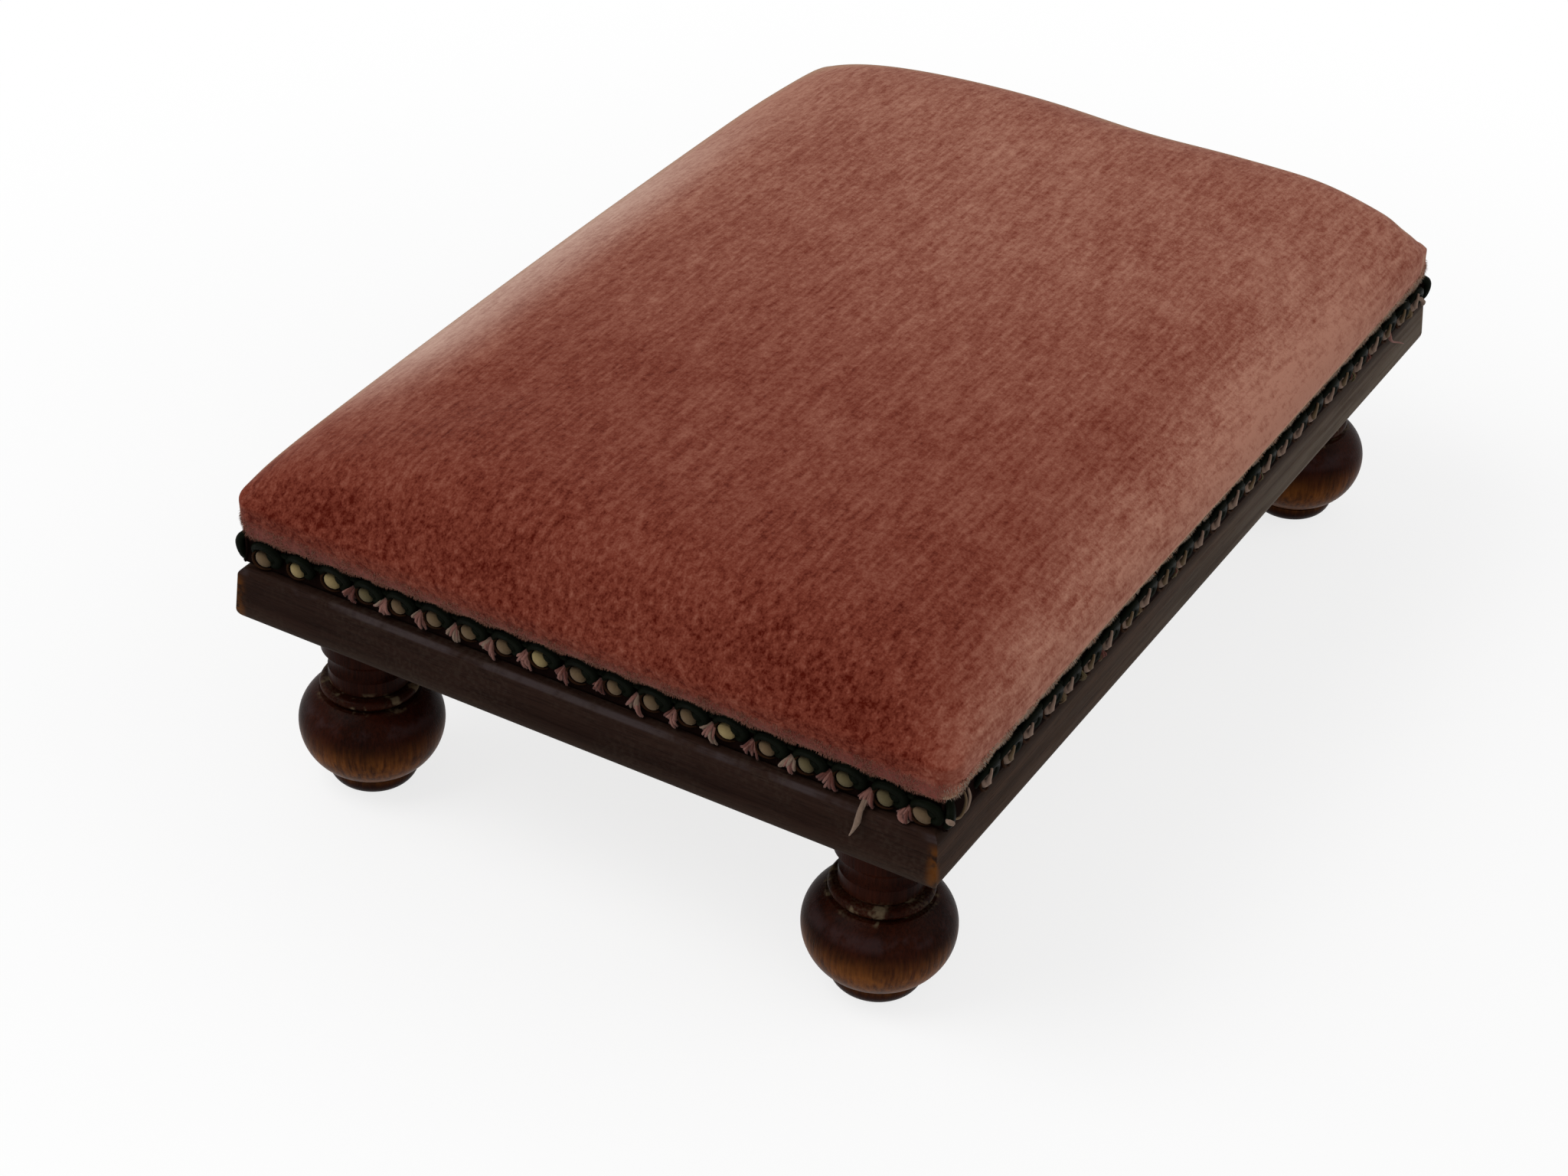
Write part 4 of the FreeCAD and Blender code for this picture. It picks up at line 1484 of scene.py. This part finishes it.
@dataclass
class Gimp:
    """The scroll gimp: in each repeat a wound bead, a thick dark loop over it and a tuft at its foot."""

    backing_thick: float = 0.0006
    backing_levels: tuple[float, ...] = (0.0, 0.1, 0.25, 0.45, 0.65, 0.85, 1.0)
    backing_steps: int = 6
    ruffle: float = 0.0002
    ruffle_turn: float = 2.4
    scatter: float = 0.0004
    growth: Band = (0.94, 1.06)
    bead_width: float = 0.00255
    bead_height: float = 0.00195
    bead_thick: float = 0.0019
    bead_out: float = 0.0006
    bead_tilt: float = -0.6
    bead_sway: Band = (-0.2, 0.25)
    bead_squash: Band = (0.92, 1.05)
    end_bead: float = 1.22
    stem_lean: Band = (-0.7, 0.4)
    stem_height: Band = (4.2, 5.6)
    stem_radii: tuple[float, ...] = (1.1, 0.7, 0.45, 0.35)
    heart: Point = (0.0026, 0.0023, 0.0019)
    heart_place: Point = (0.0033, 0.0019, 0.0002)
    tuft_strands: int = 11
    tuft_steps: int = 6
    tuft_share: float = 0.35
    tuft_size: Band = (0.80, 1.12)
    tuft_drop: Band = (0.55, 1.12)
    tuft_stray: float = 0.0005
    tuft_fold: Band = (0.0007, 0.0019)
    tuft_floor: float = 0.0004
    other_share: float = 0.3
    tuft_thread: float = 0.00040
    tie: Point = (-0.0039, 0.0012, 0.0007)
    long_fan: Fan = Fan(0.6, (-5.9, -3.4), (-2.9, -4.0))
    short_fan: Fan = Fan(1.0, (-7.0, -2.4), (-2.2, -4.2))
    # Painted glints on the loops' tops.
    glint_share: float = 0.7
    glint_fibres: int = 3
    glint_along: Band = (0.0008, 0.0030)
    glint_height: Band = (0.0046, 0.0052)
    glint_out: float = 0.0014
    glint_lean: Band = (-0.5, 0.3)
    glint_half: Band = (0.0005, 0.0009)
    wrap_heights: tuple[float, ...] = (0.0752, 0.0766, 0.0786, 0.0806, 0.0822, 0.0832)
    wrap_reach: tuple[float, ...] = (-0.0008, 0.0002, 0.0008, 0.0009, 0.0004, -0.0008)
    wrap_radii: tuple[float, ...] = (0.0010, 0.0012, 0.0013, 0.0013, 0.0012, 0.0010)
    runs: tuple[GimpRun, ...] = (
        GimpRun("gimp_front", (1.0, 0.0, 0.0), (0.0, -1.0, 0.0), 0.1588, 0.10795, -0.1385, 26, 0.0864, True,
                3, 0.0115, bead_middle=0.0785),
        GimpRun("gimp_right", (0.0, 1.0, 0.0), (1.0, 0.0, 0.0), 0.1098, 0.15705, -0.1028, 19, 0.0842, False,
                5, bright=(2, 7, 12), mossy=(4, 16)),
        GimpRun("gimp_back", (-1.0, 0.0, 0.0), (0.0, 1.0, 0.0), 0.1588, 0.10795, -0.1490, 27, 0.0864, True,
                7, bead_middle=0.0785),
        GimpRun("gimp_left", (0.0, -1.0, 0.0), (-1.0, 0.0, 0.0), 0.1098, 0.15705, -0.1025, 19, 0.0842, False,
                11, bare=3, bright=(1, 2, 8, 13), mossy=(3, 15, 16, 17)),
    )

    def build(self, palette: Palette) -> None:
        """Make the four runs.

        Args:
            palette: The stool's materials.
        """
        for run in self.runs:
            sink = MeshSink()
            chance = random.Random(run.seed)
            self._backing(run, sink)
            for index in range(run.repeats):
                u = run.first + run.pitch * index + chance.uniform(-self.scatter, self.scatter)
                z = run.bead_height(u) + chance.uniform(-self.scatter, self.scatter)
                grow = chance.uniform(*self.growth)
                self._lay(Repeat(run, sink, chance, index, u, z, grow, self.backing_thick))
            if not run.drops:
                for end in (-1.0, 1.0):
                    self._wrap(run, sink, end)
            settle(sink.piece(f"{run.name}_braid", palette.braid), "gimp_braid", run.name)

    def _lay(self, repeat: Repeat) -> None:
        """Lay one repeat of the pattern, in the order in which its forms draw their random numbers.

        Args:
            repeat: The repeat.
        """
        run, chance = repeat.run, repeat.chance
        LOOP.lay(repeat)
        EDGE_THREAD.lay(repeat)
        if repeat.index < run.repeats - 1:
            LINK.lay(repeat)
        if run.drops:
            self._stem(repeat)
        self._heart(repeat)
        last = run.name == "gimp_left" and repeat.index == run.repeats - 1
        self._bead(repeat, self.end_bead if last else 1.0)
        if repeat.index >= run.bare and (not run.drops or chance.random() < self.tuft_share):
            self._tuft(repeat)
        # Painted glints on the loops' tops, always on the last bead of the left run.
        if last or chance.random() < self.glint_share:
            self._glint(repeat)

    def _backing(self, run: GimpRun, sink: MeshSink) -> None:
        """The woven strip that carries the cord.

        Args:
            run: The run it lies on.
            sink: What gathers the braid.
        """
        steps = run.repeats * self.backing_steps
        points = []
        for step in range(steps + 1):
            u = run.half_length * (2.0 * step / steps - 1.0)
            rise = run.top(u) - run.foot
            ruffle = self.ruffle * math.sin(step * self.ruffle_turn)
            loop = [(level, self.backing_thick + (ruffle if 0.0 < level < 1.0 else 0.0))
                    for level in self.backing_levels]
            loop += [(level, 0.0) for level in reversed(self.backing_levels)]
            points.extend(run.place(u, run.foot + rise * level, n) for level, n in loop)
        count = len(self.backing_levels) * 2
        faces = []
        for low in range(0, steps * count, count):
            for index in range(count):
                turn = (index + 1) % count
                faces.append((low + index, low + turn, low + count + turn, low + count + index))
        faces.append(tuple(reversed(range(count))))
        faces.append(tuple(range(steps * count, (steps + 1) * count)))
        sink.add(points, faces, Thread.BACKING.value)

    def _heart(self, repeat: Repeat) -> None:
        """The dark filling between a bead and the loop on its right.

        Args:
            repeat: The repeat it belongs to.
        """
        u, z, n = self.heart_place
        wide, high, thick = self.heart
        axes = repeat.run.oval(0.0, wide * repeat.grow, high * repeat.grow, thick)
        repeat.sink.dome(repeat.at(u * repeat.grow, z * repeat.grow, n), axes, Thread.CORD.value, 8, 14)

    def _bead(self, repeat: Repeat, swell: float) -> None:
        """The wound bead, which leans down to the right.

        Args:
            repeat: The repeat it belongs to.
            swell: Its scale beside the others.
        """
        run, chance = repeat.run, repeat.chance
        # The long runs' beads take the paler drop and beige threads: a lighter copy of the bead thread,
        # painted light.
        thread = chance.choice((Thread.DROP,) * 3 + (Thread.BEIGE,)) if run.drops else Thread.TAN
        if repeat.index in run.bright:
            thread = Thread.GOLD
        elif repeat.index in run.mossy:
            thread = Thread.OLIVE
        grow = repeat.grow * swell
        tilt = self.bead_tilt + chance.uniform(*self.bead_sway)
        high = self.bead_height * grow * chance.uniform(*self.bead_squash)
        axes = run.oval(tilt, self.bead_width * grow, high, self.bead_thick)
        repeat.sink.dome(repeat.at(0.0, 0.0, self.bead_out), axes, thread.value, 8, 18)

    def _stem(self, repeat: Repeat) -> None:
        """The thread that a bead of the long runs hangs from.

        Args:
            repeat: The repeat it belongs to.
        """
        lean = repeat.chance.uniform(*self.stem_lean)
        high = repeat.chance.uniform(*self.stem_height)
        points = ((-0.4, 0.4, 2.1), (-0.9 + lean * 0.4, 0.4 * high, 2.7), (-0.8 + lean, 0.75 * high, 3.1),
                  (-0.4 + lean, high, 3.0))
        thread = repeat.chance.choice((Thread.DROP, Thread.DROP, Thread.TAN))
        stem = Strand(thread, points, self.stem_radii, sides=6)
        stem.sweep(repeat.sink, [repeat.at(u * MM, z * MM, n * MM) for u, z, n in points])

    def _tuft(self, repeat: Repeat) -> None:
        """A fan of soft threads from the tie between two loops down to the rail.

        Args:
            repeat: The repeat it belongs to.
        """
        chance = repeat.chance
        if repeat.run.drops:
            fan, main, other = self.long_fan, chance.choice((Thread.ROSE, Thread.TAN)), Thread.OLIVE
        else:
            fan = self.short_fan
            main, other = chance.choice(((Thread.PINK, Thread.ROSE), (Thread.ROSE, Thread.PINK),
                                         (Thread.PINK, Thread.BEIGE)))
        size = chance.uniform(*self.tuft_size) * fan.scale
        stray = self.tuft_stray
        tie_u, tie_z, tie_n = self.tie
        (left, left_drop), (right, right_drop) = fan.left, fan.right
        for index in range(self.tuft_strands):
            share = index / (self.tuft_strands - 1)
            foot_u = (left + (right - left) * share + chance.uniform(-0.5, 0.5)) * MM
            drop = (left_drop + (right_drop - left_drop) * share) * MM
            foot_z = drop * size * chance.uniform(*self.tuft_drop)
            start = Vector((tie_u + chance.uniform(-stray, stray), tie_z, tie_n))
            end = Vector((tie_u + (foot_u - tie_u) * size, foot_z, tie_n + chance.uniform(0.0, 0.0010)))
            sway = chance.uniform(-stray, stray)
            fold = chance.uniform(*self.tuft_fold)
            path = []
            radii = []
            for step in range(self.tuft_steps + 1):
                along = step / self.tuft_steps
                u, z, n = start.lerp(end, along)
                bend = math.sin(math.pi * along)
                path.append(repeat.at(u + sway * bend, z, n + fold * bend, self.tuft_floor))
                belly = 0.7 + 0.5 * math.sin(math.pi * min(along * 0.7 + 0.2, 1.0))
                radii.append(self.tuft_thread * size * belly)
            thread = other if chance.random() < self.other_share else main
            repeat.sink.tube(path, radii, 5, thread.value)

    def _glint(self, repeat: Repeat) -> None:
        """A painted glint on top of a loop: a few pale fibre domes that stand for the cord's highlight.

        Args:
            repeat: The repeat it belongs to.
        """
        chance = repeat.chance
        for _ in range(self.glint_fibres):
            u = chance.uniform(*self.glint_along)
            middle = repeat.at(u, chance.uniform(*self.glint_height), self.glint_out)
            lean = chance.uniform(*self.glint_lean)
            axes = repeat.run.oval(lean, chance.uniform(*self.glint_half), 0.00028, 0.0008)
            repeat.sink.dome(middle, axes, Thread.WORN.value, 5, 8)

    def _wrap(self, run: GimpRun, sink: MeshSink, end: float) -> None:
        """The cord's end, turned down over the corner where two runs meet.

        Args:
            run: The run whose cord it is.
            sink: What gathers the braid.
            end: -1 for the run's first end, 1 for its last.
        """
        u = end * (run.half_length - 0.0002)
        aside = Vector(run.along) * end
        places = [run.place(u, z, self.backing_thick + out) + aside * out
                  for z, out in zip(self.wrap_heights, self.wrap_reach)]
        path, radii = smooth_path(places, self.wrap_radii, 3)
        sink.tube(path, radii, 8, Thread.CORD.value)


@dataclass
class Pile:
    """Ends of the velvet's pile along the pad's lower edge, which hang lower between the braid's loops."""

    first_ring: int = 2
    last_ring: int = 8
    per_area: float = 3.2e6
    short: float = 0.00045
    long: float = 0.00125
    root: float = 0.00013
    sunk: float = 0.0003
    droop: float = 0.75
    tousle: float = 0.45
    loop_offset: float = 0.12
    # Low front-facing wisps that take the pale tips, a painted sheen along the lower edge.
    sheen_tip_share: float = 0.6
    sheen_tip_front: float = -0.5
    sheen_tip_under: float = -0.12
    section: Point = (0.0, 2.094, 4.189)
    seed: int = 23

    def wave(self, point: Vector, runs: Sequence[GimpRun]) -> float:
        """0 over the middle of a loop and 1 over the gap between two.

        Args:
            point: A place on the pad's lower edge.
            runs: The braid's four runs.

        Returns:
            The share.
        """
        run = max(runs, key=lambda side: point.dot(Vector(side.outward)) - side.face)
        phase = (point.dot(Vector(run.along)) - run.first) / run.pitch - self.loop_offset
        return 0.5 - 0.5 * math.cos(2.0 * math.pi * phase)

    def build(self, palette: Palette, skin: Skin, runs: Sequence[GimpRun]) -> None:
        """Make the pile's ends.

        Args:
            palette: The stool's materials.
            skin: The pad's vertices, faces and rings.
            runs: The braid's four runs.
        """
        points, faces, rings = skin
        normals = vertex_normals(points, faces)
        chance = random.Random(self.seed)
        sink = MeshSink()
        for upper, lower in zip(rings[self.first_ring:self.last_ring], rings[self.first_ring + 1:]):
            for place in range(len(upper)):
                turn = (place + 1) % len(upper)
                corners = (upper[place], upper[turn], lower[place], lower[turn])
                spots, ways = ([values[index] for index in corners] for values in (points, normals))
                count = (spots[1] - spots[0]).length * (spots[2] - spots[0]).length * self.per_area
                for _ in range(int(count) + (chance.random() < count % 1.0)):
                    self._hair(sink, spots, ways, runs, chance)
        settle(sink.piece("velvet_pile", [palette.velvet, palette.tips]), "velvet")

    def _hair(self, sink: MeshSink, spots: list[Vector], ways: list[Vector], runs: Sequence[GimpRun],
              chance: random.Random) -> None:
        """One tapered wisp at a random place of a face of the skin.

        Args:
            sink: What gathers the wisps.
            spots: The face's upper left, upper right, lower left and lower right vertices.
            ways: The normal at each.
            runs: The braid's four runs.
            chance: The random numbers.
        """
        u, v = chance.random(), chance.random()
        foot, way = (values[0].lerp(values[1], u).lerp(values[2].lerp(values[3], u), v)
                     for values in (spots, ways))
        way = way.normalized()
        length = self.short + (self.long - self.short) * self.wave(foot, runs) * chance.uniform(0.6, 1.1)
        loose = Vector([chance.uniform(-self.tousle, self.tousle) for _ in range(3)])
        lean = (way - UP * self.droop + loose).normalized()
        aside = lean.orthogonal().normalized()
        beside = lean.cross(aside)
        base = foot - way * self.sunk
        size = self.root * chance.uniform(0.8, 1.3)
        ring = [base + (aside * math.cos(angle) + beside * math.sin(angle)) * size for angle in self.section]
        # Painted sheen: some low front-facing wisps take the pale tips.
        low_front = way.y < self.sheen_tip_front and way.z < self.sheen_tip_under
        pale = low_front and chance.random() < self.sheen_tip_share
        faces = ((0, 1, 3), (1, 2, 3), (2, 0, 3), (2, 1, 0))
        sink.add(ring + [base + lean * (length + self.sunk)], faces, int(pale))


def fray(thread: Thread, flat: float, radii: tuple[float, ...], *points: Point) -> Strand:
    """A loose thread, its points and radii in millimetres of the frame.

    Args:
        thread: Its kind.
        flat: Thickness of its section over its width.
        radii: The radius at each point.
        points: Points of its middle line.

    Returns:
        The thread.
    """
    return Strand(thread, points, radii, flat, sides=7, steps=5)


@dataclass
class Frays:
    """Threads that came loose from the braid at the near and the right corner."""

    strands: tuple[Strand, ...] = (
        fray(Thread.BEIGE, 0.55, (0.45, 0.62, 0.85, 0.95, 0.5, 0.15), (-159.6, -87.4, 77.6),
             (-161.2, -87.4, 75.9), (-162.9, -87.5, 74.0), (-163.8, -87.4, 71.6), (-164.1, -86.6, 68.9),
             (-164.0, -85.4, 66.2)),
        fray(Thread.BEIGE, 0.8, (0.3, 0.35, 0.35, 0.12), (-159.7, -88.0, 77.2), (-161.5, -88.0, 75.4),
             (-163.3, -87.7, 73.1), (-164.0, -86.9, 70.4)),
        fray(Thread.PINK, 0.9, (0.7, 1.0, 0.8, 0.35), (-158.6, -98.2, 77.0), (-159.9, -97.6, 76.2),
             (-160.9, -98.0, 75.2), (-161.4, -99.3, 74.7)),
        fray(Thread.BEIGE, 0.8, (0.3, 0.45, 0.25), (-159.9, -98.6, 76.3), (-160.6, -99.4, 75.4),
             (-160.9, -100.2, 74.7)),
        fray(Thread.BEIGE, 0.9, (0.6, 0.9, 0.8, 0.4), (-158.3, -109.6, 78.6), (-159.8, -110.8, 78.9),
             (-159.3, -111.4, 78.4), (-157.9, -111.0, 77.6)),
        fray(Thread.TAN, 0.8, (0.3, 0.42, 0.45, 0.4, 0.3), (-157.2, -110.9, 78.0), (-154.8, -111.2, 77.2),
             (-152.9, -111.3, 78.4), (-152.2, -111.3, 81.2), (-152.4, -110.7, 83.6)),
        fray(Thread.BEIGE, 0.7, (0.3, 0.45, 0.45, 0.3), (-150.6, -110.3, 75.4), (-151.1, -111.4, 78.0),
             (-151.1, -111.8, 81.4), (-151.4, -111.2, 84.2)),
        fray(Thread.BEIGE, 0.9, (0.5, 0.8, 0.9, 0.4), (150.4, -110.2, 79.4), (153.0, -110.9, 78.0),
             (155.0, -111.2, 76.0), (155.6, -110.8, 74.6)),
        fray(Thread.PINK, 0.9, (0.6, 0.7, 0.35, 0.3, 0.12), (128.6, -110.0, 78.6), (127.0, -111.2, 77.0),
             (130.4, -111.2, 73.8), (137.0, -110.9, 70.2), (143.4, -110.8, 66.6)),
    )

    def build(self, palette: Palette) -> None:
        """Make the loose threads.

        Args:
            palette: The stool's materials.
        """
        sink = MeshSink()
        for strand in self.strands:
            strand.hang(sink)
        settle(sink.piece("loose_threads", palette.braid), "gimp_braid")


@dataclass
class PhotoCamera:
    """The photograph's viewpoint, fitted to the stool's corners, beads and feet."""

    azimuth: float = -58.8034
    elevation: float = 35.7509
    roll: float = 1.0948
    distance: float = 1.00988
    aside: float = -0.0542661
    above: float = -0.0084933
    focal_px: float = 4275.8
    centre_x_px: float = 893.511
    centre_y_px: float = 855.623
    width_px: float = 2048.0
    height_px: float = 1536.0
    sensor_mm: float = 36.0

    def build(self) -> None:
        """Make the scene's camera."""
        azimuth, elevation = math.radians(self.azimuth), math.radians(self.elevation)
        back = Vector((math.sin(azimuth) * math.cos(elevation), -math.cos(azimuth) * math.cos(elevation),
                       math.sin(elevation)))
        right = Vector((math.cos(azimuth), math.sin(azimuth), 0.0))
        upright = back.cross(right)
        roll = math.radians(self.roll)
        side = right * math.cos(roll) + upright * math.sin(roll)
        up = upright * math.cos(roll) - right * math.sin(roll)
        data = bpy.data.cameras.new("photo_camera")
        data.sensor_width = self.sensor_mm
        data.lens = self.focal_px / self.width_px * self.sensor_mm
        data.shift_x = (self.width_px / 2 - self.centre_x_px) / self.width_px
        data.shift_y = (self.centre_y_px - self.height_px / 2) / self.width_px
        data.clip_start = 0.01
        data.clip_end = 50.0
        camera = bpy.data.objects.new("photo_camera", data)
        bpy.context.scene.collection.objects.link(camera)
        turn = Matrix((side, up, back)).transposed().to_4x4()
        place = back * self.distance + side * self.aside + up * self.above
        camera.matrix_world = Matrix.Translation(place) @ turn
        bpy.context.scene.camera = camera


@dataclass(frozen=True)
class Lamp:
    """A soft square lamp that looks at a point."""

    name: str
    place: Point
    size: float
    watts: float
    colour: Colour = (1.0, 1.0, 1.0)
    target: Point = (0.0, 0.0, 0.06)

    def build(self) -> None:
        """Hang the lamp."""
        data = bpy.data.lights.new(self.name, "AREA")
        data.size = self.size
        data.energy = self.watts
        data.color = self.colour
        lamp = bpy.data.objects.new(self.name, data)
        bpy.context.scene.collection.objects.link(lamp)
        lamp.location = self.place
        way = Vector(self.target) - Vector(self.place)
        lamp.rotation_mode = "QUATERNION"
        lamp.rotation_quaternion = way.to_track_quat("-Z", "Y")


@dataclass
class Studio:
    """A pale floor, an even world and soft lamps."""

    floor_half: float = 6.0
    floor_grey: float = 0.86
    near_white: float = 0.78
    fade_start: float = 0.20
    fade_end: float = 0.50
    world_grey: float = 0.55
    lamps: tuple[Lamp, ...] = (
        Lamp("key_lamp", (-0.9, 0.9, 1.9), 1.4, 26.0),
        Lamp("fill_lamp", (0.8, -1.6, 1.3), 1.6, 9.0),
    )

    def build(self) -> None:
        """Lay the floor, hang the lamps and set the world."""
        half = self.floor_half
        corners = [(-half, -half, 0.0), (half, -half, 0.0), (half, half, 0.0), (-half, half, 0.0)]
        floor = new_object("floor", corners, [(0, 1, 2, 3)])
        dress(floor, self._floor_finish())
        for lamp in self.lamps:
            lamp.build()
        bpy.context.scene.world = self._world()
        bpy.context.scene.view_settings.view_transform = "Standard"

    def _seen_white(self, shader: Shader) -> Socket:
        """1 for what the camera, a reflection or a clear body sees, 0 for light that falls on things.

        Args:
            shader: The hand on the floor's or the world's nodes.

        Returns:
            The share.
        """
        path = shader.node("LightPath").outputs
        seen = shader.math("MAXIMUM", path["Is Camera Ray"], path["Is Glossy Ray"])
        return shader.math("MAXIMUM", seen, path["Is Transmission Ray"])

    def _floor_finish(self) -> bpy.types.Material:
        """A matt pale floor that fades to white away from the stool.

        Returns:
            Its material.
        """
        material, shader, output, place = new_material("pale_floor")
        reach = shader.node("VectorMath", {0: place}, operation="LENGTH").outputs["Value"]
        far = shader.mask(reach, self.fade_start, self.fade_end)
        paler = shader.madd(far, 1.0 - self.near_white, self.near_white)
        fade = shader.times(paler, self._seen_white(shader))
        matt = shader.node("BsdfDiffuse", {"Color": (self.floor_grey,) * 3})
        white = shader.node("Emission", {"Color": WHITE, "Strength": 1.0})
        both = shader.node("MixShader", {0: fade, 1: matt.outputs[0], 2: white.outputs[0]})
        shader.feed(output, {"Surface": both.outputs[0]})
        return material

    def _world(self) -> bpy.types.World:
        """An even world that shows white behind the stool.

        Returns:
            The world.
        """
        world = bpy.data.worlds.new("studio_world")
        world.use_nodes = True
        world.node_tree.nodes.clear()
        shader = Shader(world.node_tree)
        strength = shader.node("MapRange", {"Value": self._seen_white(shader), "To Min": self.world_grey,
                                            "To Max": 1.0})
        light = shader.node("Background", {"Color": WHITE, "Strength": strength.outputs[0]})
        shader.node("OutputWorld", {"Surface": light.outputs[0]})
        return world


@dataclass
class Woodwork:
    """The rails, feet, corner blocks, seat board and their metal, kept as the frame has them."""

    def build(self, palette: Palette) -> None:
        """Dress each solid of the frame.

        Args:
            palette: The stool's materials.
        """
        dressing = {"rail_front": palette.rail_long, "rail_back": palette.rail_long,
                    "rail_left": palette.rail_short, "rail_right": palette.rail_short,
                    "seat_board": palette.board, "seat_screws": palette.screw, "cover_tacks": palette.tack}
        for corner in CORNERS:
            dressing[f"foot_{corner}"] = palette.foot
            dressing[f"corner_block_{corner}"] = palette.block
        for name, material in dressing.items():
            dress(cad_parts[name], material)


def write_sizes() -> None:
    """Update the view layer.
    """
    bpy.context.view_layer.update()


def main() -> None:
    """Build the stool round the frame and light it."""
    logging.basicConfig(level=logging.INFO, format="%(message)s")
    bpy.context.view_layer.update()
    PhotoCamera().build()
    Studio().build()
    palette = Palette()
    Woodwork().build(palette)
    skin = Pad().build(palette)
    gimp = Gimp()
    gimp.build(palette)
    Pile().build(palette, skin, gimp.runs)
    Frays().build(palette)
    write_sizes()


if __name__ == "__main__":
    main()
